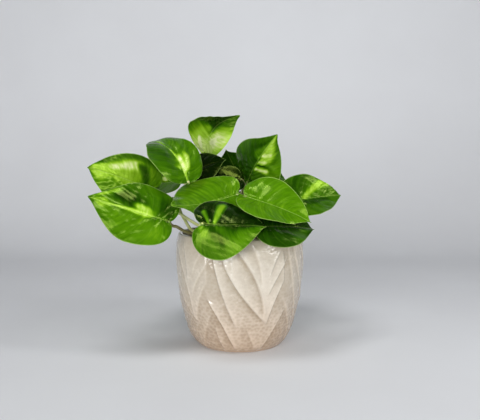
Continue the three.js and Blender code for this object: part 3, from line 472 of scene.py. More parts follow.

# base is the blade's general tone, from 0 for nearly black green to 1 for cream. Each stroke is
# (tA, vA, tB, vB, reach, tone): a soft patch from A to B, with t from the notch to the tip and
# v from the right margin at -1 to the left one at 1, reach in blade lengths. Most strokes are
# variegation; those marked below paint highlights, a reflection and shade. lumps and quilt scale
# the blade's unevenness, and each pucker is a low swelling: (t, v, reach, rise in mm).
bladeLooks = {
    "leaf_01": dict(base=0.44, strokes=[(0.4, 0.5, 0.75, 0.5, 0.16, 0.55),
        (0.64, -0.35, 0.72, -0.55, 0.1, 0.2), (0.1, -0.1, 0.26, -0.45, 0.1, 0.22),
        (0.5, -0.01, 1.0, 0.0, 0.035, 0.86), (0.5, -0.14, 0.6, -0.2, 0.042, 0.85),
        (0.9, -0.4, 0.9, 0.5, 0.06, 0.68), (0.75, -0.85, 0.86, -0.85, 0.05, 0.7)], lumps=1.2, quilt=0.7,
        puckers=[]),
    "leaf_02": dict(base=0.53, strokes=[(0.5, -0.5, 0.85, -0.3, 0.16, 0.72),
        (0.62, -0.1, 0.8, -0.1, 0.1, 0.74), (0.52, -0.62, 0.74, -0.5, 0.075, 0.95),
        (0.88, 0.6, 0.88, -0.7, 0.08, 0.82), (0.36, -0.08, 0.45, -0.6, 0.05, 0.31),
        (0.8, -0.95, 0.4, -0.98, 0.07, 0.38), (0.2, 0.3, 0.1, -0.3, 0.1, 0.6)], lumps=1.4, quilt=1,
        puckers=[]),
    "leaf_03": dict(base=0.5, strokes=[(0.62, -0.2, 0.63, -0.4, 0.045, 0.95)], lumps=0.3, quilt=0.3,
        puckers=[]),
    # leaf_04: the two near-cream strokes right of the midrib, tones 0.96 and 0.9, are painted highlight, a
    # sheen
    "leaf_04": dict(base=0.44, strokes=[(0.5, -0.6, 0.5, 0.6, 0.2, 0.48),
        (0.51, 0.08, 0.56, 0.45, 0.05, 0.76), (0.84, -0.08, 0.86, -0.3, 0.035, 0.66),
        (0.2, 0.0, 0.72, -0.02, 0.022, 0.76), (0.44, -0.07, 0.6, -0.1, 0.04, 0.96),
        (0.46, -0.2, 0.54, -0.36, 0.042, 0.9), (0.6, 0.5, 0.8, 0.8, 0.13, 0.34)], lumps=0.7,
        puckers=[(0.5, -0.3, 0.09, 0.7)], quilt=1),
    # leaf_05: the two strokes of tone 1.3 are painted highlights; the 0.94 stroke under them is partly
    # variegation and partly painted highlight
    "leaf_05": dict(base=0.36, strokes=[(0.2, 0.9, 0.55, -0.7, 0.2, 0.92),
        (0.2, 0.4, 0.5, -0.4, 0.11, 0.94), (0.62, 0.25, 0.5, 0.3, 0.07, 0.8),
        (0.3, 0.4, 0.37, 0.46, 0.035, 1.3), (0.49, -0.28, 0.53, -0.42, 0.035, 1.3),
        (0.75, 0.9, 0.8, 0.2, 0.12, 0.16)], lumps=2.0, puckers=[(0.3, 0.45, 0.09, 1.2),
        (0.5, -0.4, 0.09, 1.2)], quilt=1),
    # leaf_06, leaf_07 and leaf_08 are set darker than their own green as painted shade of the leaves above
    # them; leaf_06's stroke of -0.1 deepens it further
    "leaf_06": dict(base=0.0, strokes=[(0.2, 0, 0.8, 0, 0.3, -0.1)], lumps=0.4, quilt=0.4, puckers=[]),
    "leaf_07": dict(base=0.22, strokes=[(0.6, -0.3, 0.8, -0.3, 0.12, 0.3)], lumps=0.4, quilt=0.4,
        puckers=[]),
    "leaf_08": dict(base=0.08, strokes=[(0.5, 0.3, 0.6, 0.5, 0.12, 0.12),
        (0.15, 0.0, 0.3, 0.0, 0.1, 0.02)], lumps=0.4, quilt=0.4, puckers=[]),
    "leaf_09": dict(base=0.56, strokes=[(0.97, 0.0, 0.85, -0.9, 0.04, 0.42),
        (0.1, 0.2, 0.3, 0.5, 0.1, 0.5)], lumps=0.6, puckers=[(0.32, -0.4, 0.1, 0.5),
        (0.16, -0.62, 0.09, 0.5)], quilt=1),
    # leaf_10: the 0.62 stroke near the notch on the right half is a painted reflection
    "leaf_10": dict(base=0.44, strokes=[(0.1, 0.55, 0.9, 0.55, 0.24, 0.08),
        (0.12, 0.2, 0.8, 0.2, 0.1, 0.1), (0.33, 0.1, 0.31, 0.6, 0.03, 0.6),
        (0.45, 0.08, 0.47, 0.75, 0.038, 0.72), (0.4, -0.1, 0.5, -0.5, 0.06, 0.25),
        (0.75, -0.6, 0.5, -0.95, 0.08, 0.52), (0.14, -0.3, 0.3, -0.35, 0.07, 0.62)], lumps=0.65,
        quilt=0.3, puckers=[]),
    "leaf_11": dict(base=0.24, strokes=[(0.3, 0.4, 0.8, 0.4, 0.2, 0.15),
        (0.8, -0.6, 0.7, -0.9, 0.1, 0.4)], lumps=0.5, quilt=1, puckers=[]),
    "leaf_12": dict(base=0.55, strokes=[(0.2, 0.2, 0.6, 0.3, 0.12, 0.53),
        (0.9, -0.2, 0.6, -0.8, 0.1, 0.53)], lumps=0.5, puckers=[(0.24, 0.55, 0.12, 0.7)], quilt=1),
    # leaf_13: the strokes of tone 0.97 and 0.95 on the right half are painted highlights, and the 0.5
    # stroke on the dark left half is a painted sheen
    "leaf_13": dict(base=0.4, strokes=[(0.5, 0.85, 0.3, 0.95, 0.1, 0.44),
        (0.35, 0.2, 0.7, 0.4, 0.14, 0.26), (0.85, -0.35, 0.92, -0.35, 0.14, 0.82),
        (0.75, -0.3, 0.74, -0.5, 0.085, 0.82), (0.68, -0.15, 0.68, -0.3, 0.05, 0.8),
        (0.6, -0.8, 0.5, -0.8, 0.12, 0.58), (0.78, -0.12, 0.77, -0.55, 0.022, 0.97),
        (0.7, -0.1, 0.69, -0.4, 0.022, 0.95), (0.6, -0.12, 0.58, -0.5, 0.04, 0.95),
        (0.655, -0.1, 0.645, -0.4, 0.015, 0.2), (0.86, 0.12, 0.74, 0.32, 0.04, 0.5)], lumps=2.4,
        quilt=1.5, puckers=[]),
    "leaf_14": dict(base=0.42, strokes=[(0.4, 0.6, 0.45, 0.9, 0.1, 0.32), (0.15, 0.4, 0.3, 0.2, 0.1, 0.3),
        (0.55, -0.25, 0.75, -0.25, 0.08, 0.25), (0.56, 0.08, 0.7, 0.95, 0.055, 0.8),
        (0.5, -0.7, 0.3, -0.7, 0.12, 0.46)], lumps=1.3, quilt=1, puckers=[]),
    "leaf_15": dict(base=0.36, strokes=[(0.5, -0.3, 0.6, -0.7, 0.08, 0.6)], lumps=1, quilt=1, puckers=[]),
    "leaf_16": dict(base=0.46, strokes=[(0.7, -0.3, 0.75, -0.7, 0.12, 0.2),
        (0.5, 0.1, 0.56, 0.8, 0.08, 0.82), (0.3, -0.1, 0.36, -0.5, 0.05, 0.78)], lumps=1, quilt=1,
        puckers=[]),
    "leaf_17": dict(base=0.42, strokes=[(0.3, 0.5, 0.6, 0.6, 0.15, 0.2), (0.3, 0.0, 0.9, 0.0, 0.05, 0.82),
        (0.62, -0.1, 0.66, -0.8, 0.07, 0.86)], lumps=1, quilt=1, puckers=[]),
    "leaf_18": dict(base=0.5, strokes=[(0.25, -0.5, 0.5, -0.6, 0.12, 0.25),
        (0.42, 0.1, 0.48, 0.9, 0.1, 0.84), (0.7, -0.2, 0.72, -0.5, 0.05, 0.76)], lumps=1, quilt=1,
        puckers=[]),
    "leaf_19": dict(base=0.55, strokes=[(0.5, -0.1, 0.56, -0.7, 0.06, 0.8),
        (0.3, 0.2, 0.4, 0.6, 0.1, 0.4)], lumps=1, quilt=1, puckers=[]),
    "leaf_20": dict(base=0.44, strokes=[(0.3, -0.4, 0.6, -0.4, 0.2, 0.24),
        (0.55, 0.05, 0.6, 0.9, 0.12, 0.86), (0.8, 0.0, 0.95, 0.0, 0.05, 0.74)], lumps=1, quilt=1,
        puckers=[]),
    "leaf_21": dict(base=0.48, strokes=[(0.35, 0.5, 0.5, 0.6, 0.12, 0.26),
        (0.4, -0.1, 0.46, -0.8, 0.07, 0.82), (0.66, 0.15, 0.7, 0.5, 0.04, 0.78)], lumps=1, quilt=1,
        puckers=[]),
    "leaf_22": dict(base=0.54, strokes=[(0.5, 0.1, 0.58, 0.8, 0.07, 0.8),
        (0.7, -0.3, 0.6, -0.7, 0.1, 0.4)], lumps=1, quilt=1, puckers=[]),
}


def cubicBezier(p, t):
    # four points weighted by (1 - t)^3, 3t (1 - t)^2, 3t^2 (1 - t) and t^3
    p, t = np.asarray(p, float), np.asarray(t, float)[..., None]
    return (1 - t) ** 3 * p[0] + 3 * t * (1 - t) ** 2 * p[1] + 3 * t * t * (1 - t) * p[2] + t ** 3 * p[3]


def marginPoint(t, leaf):
    # one half's outline for a flat blade of length 1: a curve round the lobe, then one to the tip
    half, lobe, widest, share = leaf["half"], leaf["lobe"], leaf["widest"], bladeGrid["lobeShare"]
    back = cubicBezier([(0, 0), (-1.35 * lobe, 0.16 * half), (-1.25 * lobe, half), (widest, half)],
                       np.clip(t / share, 0, 1))
    front = cubicBezier([(widest, half), (widest + 0.3, half), (0.84, 0.26 * half), (1, 0)],
                        np.clip((t - share) / (1 - share), 0, 1))
    return np.where((t < share)[..., None], back, front)


def midribTable(leaf):
    # the midrib turns down by arch s + curl s^3 degrees; its place is the sum of those directions
    s = np.linspace(-0.5, 1, 601)
    turn = np.radians(leaf["arch"] * s + leaf["curl"] * np.maximum(s, 0) ** 3)
    step = s[1] - s[0]
    forward = np.concatenate([[0], np.cumsum((np.cos(turn[1:]) + np.cos(turn[:-1])) / 2 * step)])
    up = np.concatenate([[0], np.cumsum(-(np.sin(turn[1:]) + np.sin(turn[:-1])) / 2 * step)])
    return s, turn, forward - np.interp(0, s, forward), up - np.interp(0, s, up)


def bladeAxes(leaf):
    # the notch, the directions ahead, out of the upper side and to the left there, and the length
    # that makes the bent midrib end at the tip
    base, chord = np.array(leaf["base"], float), np.subtract(leaf["tip"], leaf["base"]).astype(float)
    _, _, forward, up = midribTable(leaf)
    flat = math.hypot(forward[-1], up[-1])
    length = np.linalg.norm(chord) / flat
    chord = unit(chord)
    face = np.array(leaf["face"], float)
    face = unit(face - chord * (face @ chord))
    cos, sin = forward[-1] / flat, -up[-1] / flat
    ahead, upper = chord * cos + face * sin, face * cos - chord * sin
    return base, ahead, upper, np.cross(upper, ahead), length


def bladeMiddle(leaf, t, v):
    # the blade's middle surface: each side vein is a straight line from the midrib at t^2.2 to the
    # margin at t, lifted by the fold and the bowl, and then swept, twisted and bent with the midrib
    base, ahead, upper, leftward, length = bladeAxes(leaf)
    q, side = abs(v), np.sign(v)
    margin = marginPoint(t, leaf)
    foot = t ** bladeGrid["ribPower"]
    x = foot + q * (margin[..., 0] - foot)
    y = side * q * margin[..., 1] * np.where(v > 0, leaf["left"], 1)
    out = abs(y) / leaf["half"]
    rounding = bladeGrid["foldRound"]
    z = (leaf["half"] * (leaf["fold"] * (np.hypot(out, rounding) - rounding) + leaf["bowl"] * out * out)
         + bladeGrid["marginWave"] * q ** 3
         * np.sin(2 * math.pi * bladeGrid["marginWaves"] * t + bladeGrid["waveShift"] * side))
    flatY = y * length
    y = y + leaf["sweep"] * (x * x - x)
    twist = np.radians(leaf["twist"]) * x
    y, z = y * np.cos(twist) - z * np.sin(twist), y * np.sin(twist) + z * np.cos(twist)
    s, turn, forward, up = midribTable(leaf)
    bent = np.interp(x, s, turn)
    forwardAt, upAt = np.interp(x, s, forward) + z * np.sin(bent), np.interp(x, s, up) + z * np.cos(bent)
    points = base + length * (forwardAt[..., None] * ahead + y[..., None] * leftward
                              + upAt[..., None] * upper)
    return points, flatY


def gridNormals(points, faces):
    # each point's normal is the sum of the normals of the faces round it
    flat = points.reshape(-1, 3)
    corners = flat[faces]
    normal = np.cross(corners[:, 2] - corners[:, 0], corners[:, 3] - corners[:, 1])
    total = np.zeros_like(flat)
    for k in range(4):
        np.add.at(total, faces[:, k], normal)
    return unit(total).reshape(points.shape)


def bladeTone(t, v, phase, look, rng):
    # the base tone, drawn towards each stroke's own tone near its line; the strips between the
    # side veins reach out unevenly, so that the patches end in streaks along them
    knots = rng.uniform(-1, 1, (2, 64))
    spots = np.arange(64)
    ragged = (np.interp(np.mod(phase, 63), spots, knots[0])
              + 0.6 * np.interp(np.mod(3 * phase, 63), spots, knots[1]))
    tone = np.full(t.shape, look["base"])
    halfWidth = bladeGrid["halfWidth"]
    for tA, vA, tB, vB, reach, aim in look["strokes"]:
        dt, dv = tB - tA, halfWidth * (vB - vA)
        pt, pv = t - tA, halfWidth * (v - vA)
        share = np.clip((pt * dt + pv * dv) / (dt * dt + dv * dv), 0, 1)
        away = np.hypot(pt - share * dt, pv - share * dv) / reach
        tone += (aim - tone) * (1 - smoothStep(away * (1 + 0.3 * ragged), 0.3, 1.7))
    return tone


def makeBlade(name, upperMaterial, lowerMaterial):
    # the middle surface carried out along its normals to both faces: quilted between the side
    # veins, which lie sunk, grooved along the midrib above and ribbed below
    leaf, look, g = leaves[name], bladeLooks[name], bladeGrid
    rng = np.random.default_rng(int(name[-2:]) * 7 + 1)
    rows = g["rows"]
    share = np.append(np.linspace(0, 1, g["across"]) ** g["ribPacking"] * g["rimShare"], 1.0)
    t, v = np.broadcast_arrays(np.linspace(0, 1, rows)[:, None],
                               np.concatenate([-share[::-1], share[1:]])[None])
    columns = v.shape[1]
    middle, y = bladeMiddle(leaf, t, v)
    faces = gridFaces(rows, columns)[:, ::-1]
    normal = gridNormals(middle, faces)
    out = abs(v)
    bent = t + g["veinBend"] * out * (1 - out)
    phase = g["veins"] * bent + np.where(v > 0, 0.0, 20.5) + rng.uniform(0, 1)
    toVein = abs(np.mod(phase + 0.5, 1) - 0.5)
    inside = smoothStep(t, 0.02, 0.16) * smoothStep(1 - t, 0.0, 0.12)
    swell = rng.uniform(*g["swell"], 40)[np.floor(phase).astype(int)]
    quilt = (g["quilt"] * look["quilt"] * swell
             * np.sin(math.pi * out) ** 0.8 * np.sin(math.pi * phase) ** 2)
    sunk = (-g["sunk"] * bump(toVein, g["sunkWidth"])
            * smoothStep(out, 0.02, 0.1) * smoothStep(1 - out, 0.02, 0.3))
    groove = g["brow"] * bump(abs(y) - g["browAt"], g["browHalf"]) - g["groove"] * bump(y, g["grooveHalf"])
    groove *= smoothStep(1 - t, 0.0, 0.35) * smoothStep(t, 0, 0.05)
    sway = sum(np.sin(y * rng.uniform(*g["swayAcross"]) + t * rng.uniform(*g["swayAlong"])
                      + rng.uniform(0, 6)) for _ in range(3))
    along = t * bladeAxes(leaf)[4]
    lumps = sum(
        np.sin(y * rng.uniform(*g["lumpAcross"]) + 0.8 * np.sin(0.3 * along) + rng.uniform(0, 6))
        * np.sin(along * rng.uniform(*g["lumpAlong"]) + 0.3 * y + rng.uniform(0, 6)) for _ in range(3))
    sheet = ((quilt + sunk) * inside + groove + g["sway"] * sway * smoothStep(out, 0, 0.3)
             + g["lump"] * look["lumps"] * lumps * inside)
    for pt, pv, reach, rise in look["puckers"]:
        sheet += rise * bump(np.hypot(t - pt, bladeGrid["halfWidth"] * (v - pv)), reach)
    rib = ((g["ribRise"] - g["ribLoss"] * t) * bump(y, g["ribHalf"] - g["ribNarrows"] * t)
           * smoothStep(1 - t, 0, 0.1)
           + g["veinRidge"] * bump(toVein, g["ridgeWidth"]) * smoothStep(1 - out, 0.05, 0.4) * inside)
    half = g["thick"] / 2 * (g["edgeThin"] + (1 - g["edgeThin"]) * smoothStep(1 - out, 0, 0.06))
    upper = middle + normal * (sheet + half)[..., None]
    lower = middle + normal * (sheet - half - rib)[..., None]
    for face in (upper, lower):  # the notch and the tip are one point each
        face[0], face[-1] = face[0].mean(0), face[-1].mean(0)
    count = rows * columns
    edge = np.concatenate([np.arange(rows) * columns + columns - 1, np.arange(rows - 1, -1, -1) * columns])
    after = np.roll(edge, -1)
    side = np.stack([edge, after, after + count, edge + count], -1)
    values = {"tone": bladeTone(t, v, phase, look, rng), "phase": phase,
              "seed": np.full(t.shape, rng.uniform(0, 50)), "ribY": y, "out": out}
    uv = np.stack([bent, (v + 1) / 2], -1).reshape(-1, 2)
    points = np.concatenate([upper.reshape(-1, 3), lower.reshape(-1, 3)])
    blade = makeObject("blade_" + name[-2:], points, [faces, faces[:, ::-1] + count, side],
                       [upperMaterial, lowerMaterial], uv=np.tile(uv, (2, 1)),
                       values={key: np.tile(x.ravel(), 2) for key, x in values.items()},
                       faceMaterial=np.repeat([0, 1, 1], [len(faces), len(faces), len(side)]))
    mergeDoubles(blade)
    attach(blade, "root")
    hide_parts(name)


def mergeDoubles(piece):
    # joins the points that lie together at the notch and the tip
    shape = bmesh.new()
    shape.from_mesh(piece.data)
    bmesh.ops.remove_doubles(shape, verts=shape.verts, dist=1e-7)
    bmesh.ops.dissolve_degenerate(shape, edges=shape.edges, dist=1e-7)
    shape.to_mesh(piece.data)
    shape.free()


def waxyBlade(name, fade, glossy, matt):
    # Grown pothos blade under a waxy cuticle: wet-looking gloss over greens that run from nearly
    # black to lime and cream in streaks along the side veins, with a pale midrib and margin. Some of
    # the cream and pale green is painted highlight and painted reflection, and some of the darkest
    # green is painted shade, all carried in the tone.
    # The underside has no wax, so it is paler and duller.
    material, add = newMaterial(name)
    keys = ("tone", "phase", "seed", "ribY", "out")
    tone, phase, seed, ribY, out = (add("Attribute", output="Fac", attribute_name=key) for key in keys)
    surface = add("UVMap", uv_map="surface")
    place = add("TexCoord", output="Object")
    # streaks 2 mm wide and bands 7 mm wide along the veins, cells of 0.1 mm drawn as 1 mm flecks
    fine = add("Mapping", {"Vector": surface, "Scale": (46.0, 5.0, 1.0)})
    wide = add("Mapping", {"Vector": surface, "Scale": (13.0, 2.5, 1.0)})
    streak = add("TexNoise", {"Vector": fine, "W": seed, "Scale": 1.0, "Detail": 3.0},
                 noise_dimensions="4D")
    band = add("TexNoise", {"Vector": wide, "W": seed, "Scale": 1.0, "Detail": 2.0},
               noise_dimensions="4D")
    fleck = add("TexNoise", {"Vector": place, "Scale": 900.0, "Detail": 2.0})
    streaked = add("Math", {0: streak, 1: 0.28, 2: tone}, operation="MULTIPLY_ADD")
    banded = add("Math", {0: band, 1: 0.22, 2: streaked}, operation="MULTIPLY_ADD")
    level = add("Math", {0: banded, 1: 0.25}, operation="SUBTRACT")
    greens = add("ValToRGB", {0: level})
    stops = [(0.0, "#061701"), (0.15, "#0d2a01"), (0.3, "#1f4702"), (0.45, "#376503"), (0.57, "#4c7d06"),
             (0.7, "#739f16"), (0.82, "#93bd33"), (0.92, "#b8d468"), (1.0, "#dfe9ac")]
    for at, colour in stops[2:]:
        greens.node.color_ramp.elements.new(at)
    for element, (at, colour) in zip(greens.node.color_ramp.elements, stops):
        element.position, element.color = at, linearColour(colour)
    toVein = add("Math", {0: phase, 1: 0.5}, operation="PINGPONG")
    vein = add("MapRange", {"Value": toVein, 1: 0.0, 2: 0.06, 3: 0.2, 4: 0.0})
    veinShare = add("Math", {0: vein, 1: level}, operation="MULTIPLY", use_clamp=True)
    veined = add("Mix", {0: veinShare, 6: greens, 7: "#86b436"}, data_type="RGBA")
    fromRib = add("Math", {0: ribY}, operation="ABSOLUTE")
    rib = add("MapRange", {"Value": fromRib, 1: 0.15, 2: 0.65, 3: 0.75, 4: 0.0})
    ribShare = add("Math", {0: rib, 1: level}, operation="MULTIPLY", use_clamp=True)
    ribbed = add("Mix", {0: ribShare, 6: veined, 7: "#98bb4e"}, data_type="RGBA")
    margin = add("MapRange", {"Value": out, 1: 0.972, 2: 0.996, 3: 0.0, 4: 0.6})
    edged = add("Mix", {0: margin, 6: ribbed, 7: "#a9c66a"}, data_type="RGBA")
    faded = add("Mix", {0: fade, 6: edged, 7: "#84a552"}, data_type="RGBA")
    height = add("Math", {0: fleck, 1: 0.35, 2: streak}, operation="MULTIPLY_ADD")
    wrinkle = add("Bump", {"Height": height, "Strength": 0.4, "Distance": 0.0004})
    gloss = add("MapRange", {"Value": band, 1: 0.3, 2: 0.7, 3: glossy, 4: matt})
    shader = add("BsdfPrincipled", {"Base Color": faded, "Roughness": gloss, "Normal": wrinkle,
                                    "IOR": 1.42, "Specular Tint": (0.75, 1.0, 0.16, 1.0)})
    add("OutputMaterial", {"Surface": shader})
    return material


upperBlade = waxyBlade("waxyPothosBlade", fade=0.0, glossy=0.13, matt=0.26)
lowerBlade = waxyBlade("pothosBladeUnderside", fade=0.5, glossy=0.48, matt=0.6)
for name in leaves:
    makeBlade(name, upperBlade, lowerBlade)
print("blades made:", len(leaves))


vineLook = {
    "soilTop": 112.0, "rise": 5.0, "buried": 20.0, "stemRadius": 2.7, "stalkRadius": 1.8,
    "sides": 16, "steps": 44, "stemSteps": 60, "kneeReach": 9.0,
    "stemReach": 40.0,  # a stem's usual length above the soil, for the places of its nodes
    "nodeRise": 0.45, "nodeWidth": 0.03, "taper": 0.25,
    # a stalk's channel, its wings where it sheathes, its swollen foot and its knee, in mm or shares
    "sheathTo": 0.55, "channel": 0.5, "wing": 0.35, "swollenFoot": 0.25, "knee": 0.3,
    "lean": 0.1, "lift": 0.4, "bow": 0.38,  # how a stalk sets out and turns in, as shares of its reach
    # how young and pale each stalk looks, where it isn't 0.6; the same share paints light onto stalks that
    # lie in shade and shade onto stalks in dark gaps
    "youthAndPaintedLight": {"leaf_01": 0.12, "leaf_02": 1.0, "leaf_03": 0.9, "leaf_06": 0.3, "leaf_08": 0.1,
                 "leaf_10": 0.8, "leaf_12": 0.2, "leaf_13": 0.2},
    # where each stem stands in the soil, and its top
    "stems": {
        "vine_1": ((-26, -14), (-30, -16, 140)), "vine_2": ((-22, 14), (-30, 14, 160)),
        "vine_3": ((-4, -16), (-8, -16, 150)), "vine_4": ((22, -18), (24, -20, 140)),
        "vine_5": ((26, 12), (30, 10, 150)), "vine_6": ((2, 26), (0, 30, 160)),
    },
    # each leaf's stem, how far up it the stalk starts, points on its way and how it arrives
    "stalks": {
        "leaf_01": ("vine_1", 0.15, [(-58, -42, 136), (-64, -50, 139.5), (-70, -58, 144.5)], None),
        "leaf_02": ("vine_1", 0.5, [(-58, -18, 147)], (0.6, -0.4, -0.7)),
        "leaf_03": ("vine_1", 0.3, [(-56, -10, 134), (-64, -6, 145), (-71, -1, 160)], None),
        "leaf_04": ("vine_1", 1, [(-47, 6, 174), (-57, -10, 193), (-59, -22, 196)], (0, 0.9, 0.4)),
        "leaf_05": ("vine_2", 0.95, [(-38, 52, 194)], (0.05, 0.3, -0.95)),
        "leaf_06": ("vine_2", 1, [], None), "leaf_07": ("vine_6", 1, [], None),
        "leaf_08": ("vine_6", 0.8, [], None), "leaf_09": ("vine_3", 0.7, [], None),
        "leaf_10": ("vine_3", 0.3, [], None), "leaf_11": ("vine_4", 0.3, [], None),
        "leaf_12": ("vine_4", 0.6, [(24, -44, 148)], None), "leaf_13": ("vine_4", 1, [], None),
        "leaf_14": ("vine_5", 0.5, [], None), "leaf_15": ("vine_5", 1, [], None),
        "leaf_16": ("vine_2", 0.35, [], None), "leaf_17": ("vine_2", 0.6, [], None),
        "leaf_18": ("vine_6", 0.4, [], None), "leaf_19": ("vine_5", 0.6, [(42, 46, 178)], None),
        "leaf_20": ("vine_6", 0.3, [], None), "leaf_21": ("vine_5", 0.75, [], None),
        "leaf_22": ("vine_5", 0.3, [], None),
    },
}


def evenly(points, count):
    # the same line, with its points at equal distances
    far = np.concatenate([[0], np.cumsum(np.linalg.norm(np.diff(points, axis=0), axis=1))])
    at = np.linspace(0, far[-1], count)
    return np.stack([np.interp(at, far, points[:, k]) for k in range(3)], -1)


def roundCurve(knots, steps=40):
    # centripetal Catmull-Rom curve through the knots, whose ends lean on mirrored knots
    knots = np.asarray(knots, float)
    padded = np.concatenate([[2 * knots[0] - knots[1]], knots, [2 * knots[-1] - knots[-2]]])
    w = np.linspace(0, 1, steps)[:, None]
    pieces = []
    for a, b, c, d in zip(padded, padded[1:], padded[2:], padded[3:]):
        d0, d1, d2 = (max(np.linalg.norm(q - p) ** 0.5, 1e-4) for p, q in ((a, b), (b, c), (c, d)))
        m1 = d1 * ((b - a) / d0 - (c - a) / (d0 + d1) + (c - b) / d1)
        m2 = d1 * ((c - b) / d1 - (d - b) / (d1 + d2) + (d - c) / d2)
        pieces.append(b + m1 * w + (3 * (c - b) - 2 * m1 - m2) * w ** 2 + (2 * (b - c) + m1 + m2) * w ** 3)
    return np.concatenate(pieces)


def stemLine(name, s):
    # foot, bend and top weighted by (1 - s)^2, 2s (1 - s) and s^2
    root, top = vineLook["stems"][name]
    foot = np.array([*root, vineLook["soilTop"] + vineLook["rise"]], float)
    bend = np.array([*root, (foot[2] + top[2]) / 2], float)
    s = np.asarray(s, float)[..., None]
    return (1 - s) ** 2 * foot + 2 * s * (1 - s) * bend + s ** 2 * np.array(top, float)


def stalkLine(name):
    # from the stem to the blade's notch: a smooth curve through its own points, or one Bezier curve
    vine, up, via, arrive = vineLook["stalks"][name]
    base, ahead, upper, _, _ = bladeAxes(leaves[name])
    start = stemLine(vine, up)
    arrive = unit(arrive) if arrive else unit(-0.75 * upper - 0.5 * ahead)
    if via:
        line = roundCurve([start, *via, base + vineLook["kneeReach"] * arrive, base])
    else:
        reach = base - start
        far = np.linalg.norm(reach)
        out = start + [vineLook["lean"] * reach[0], vineLook["lean"] * reach[1], vineLook["lift"] * far]
        line = cubicBezier([start, out, base + vineLook["bow"] * far * arrive, base],
                           np.linspace(0, 1, 200))
    return evenly(line, vineLook["steps"])


def tube(line, radiusAt, towards):
    # a closed tube: round sections carried along a line without turning, with a radius for each
    # share of the way and each angle, where angle 0 looks towards a given direction
    count, sides = len(line), vineLook["sides"]
    along = unit(np.gradient(line, axis=0))
    side = np.zeros_like(line)
    aside = np.array(towards, float)
    for i in range(count):
        aside = unit(aside - along[i] * (aside @ along[i]))
        side[i] = aside
    other = np.cross(along, side)
    angle = np.arange(sides) * 2 * math.pi / sides
    radius = radiusAt(np.linspace(0, 1, count)[:, None], angle[None])[..., None]
    ring = line[:, None] + radius * (side[:, None] * np.cos(angle)[None, :, None]
                                     + other[:, None] * np.sin(angle)[None, :, None])
    points = np.concatenate([ring.reshape(-1, 3), [line[0], line[-1]]])
    return points, closedRings(count, sides), np.append(np.repeat(np.linspace(0, 1, count), sides), [0, 1])


def makeVine(name, material):
    # a stem with low rings at its nodes, and its leaves' stalks, which are channelled and
    # winged where they sheathe the stem and thicken to a knee below the blade
    look = vineLook
    root, _ = look["stems"][name]
    bury = look["buried"] / (look["buried"] + look["stemReach"])
    stalks = {leaf: s for leaf, s in look["stalks"].items() if s[0] == name}

    def stemRadius(s, angle):
        nodes = sum(look["nodeRise"] * bump(s - (bury + (1 - bury) * up), look["nodeWidth"])
                    for _, up, _, _ in stalks.values())
        return look["stemRadius"] * (1 - look["taper"] * s) + nodes + 0 * angle

    def stalkRadius(s, angle):
        away = np.abs(np.mod(angle + math.pi, 2 * math.pi) - math.pi)
        sheath = smoothStep(look["sheathTo"] - s, 0, 0.2)
        channel = look["channel"] * bump(away, 0.45) * (0.35 + 0.65 * sheath)
        wings = look["wing"] * bump(away - 0.85, 0.25) * sheath
        foot = look["swollenFoot"] * look["stalkRadius"] * smoothStep(0.12 - s, 0, 0.12)
        knee = look["knee"] * smoothStep(s, 0.86, 0.92) * (1 - 0.4 * smoothStep(s, 0.97, 1.0))
        return look["stalkRadius"] + foot + knee - channel + wings

    buried = [*root, look["soilTop"] - look["buried"]]
    stem = evenly(np.concatenate([[buried], stemLine(name, np.linspace(0, 1, 30))]), look["stemSteps"])
    parts = [(*tube(stem, stemRadius, (1, 0, 0)), 0.0)]
    for leaf in stalks:
        line = stalkLine(leaf)
        inward = np.array([*root, line[0][2] + 30]) - line[len(line) // 3]
        parts.append((*tube(line, stalkRadius, inward), look["youthAndPaintedLight"].get(leaf, 0.6)))
    offsets = np.cumsum([0] + [len(p[0]) for p in parts])
    faces = [f + start for start, part in zip(offsets, parts) for f in part[1]]
    vine = makeObject("stem_" + name[-1], np.concatenate([p[0] for p in parts]), faces, [material],
                      values={"along": np.concatenate([p[2] for p in parts]),
                              "pale": np.concatenate([np.full(len(p[0]), p[3]) for p in parts])})
    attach(vine, "root")
    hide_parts(name)


def fleshyStem():
    # Fleshy green stem and leaf stalks: smooth, half-glossy skin, olive-brown where it is old and
    # pale yellow-green where it is young, streaked lengthwise and duller towards the foot. The
    # young colour is near cream as painted light for stalks lying in shade, and low shares of it
    # paint shade where stalks lie in dark gaps.
    material, add = newMaterial("fleshyPothosStem")
    place = add("TexCoord", output="Object")
    keys = ("along", "pale")
    along, pale = (add("Attribute", output="Fac", attribute_name=key) for key in keys)
    blotch = add("TexNoise", {"Vector": place, "Scale": 160.0, "Detail": 4.0})
    pores = add("TexNoise", {"Vector": place, "Scale": 900.0, "Detail": 3.0})
    streak = add("MapRange", {"Value": blotch, 1: 0.4, 2: 0.7})
    # the old colour doubles as painted shade and the near-cream young colour as painted light
    oldAndShaded = add("Mix", {0: streak, 6: "#5f5a2a", 7: "#5e4327"}, data_type="RGBA")
    youngAndLit = add("Mix", {0: streak, 6: "#f2f5b4", 7: "#dfe688"}, data_type="RGBA")
    skin = add("Mix", {0: pale, 6: oldAndShaded, 7: youngAndLit}, data_type="RGBA")
    grain = add("Bump", {"Height": pores, "Strength": 0.3, "Distance": 0.0003})
    gloss = add("MapRange", {"Value": along, 3: 0.5, 4: 0.34})
    shader = add("BsdfPrincipled", {"Base Color": skin, "Normal": grain, "Roughness": gloss,
                                    "IOR": 1.42})
    add("OutputMaterial", {"Surface": shader})
    return material


stemMaterial = fleshyStem()
for name in vineLook["stems"]:
    makeVine(name, stemMaterial)
print("stems made:", len(vineLook["stems"]))


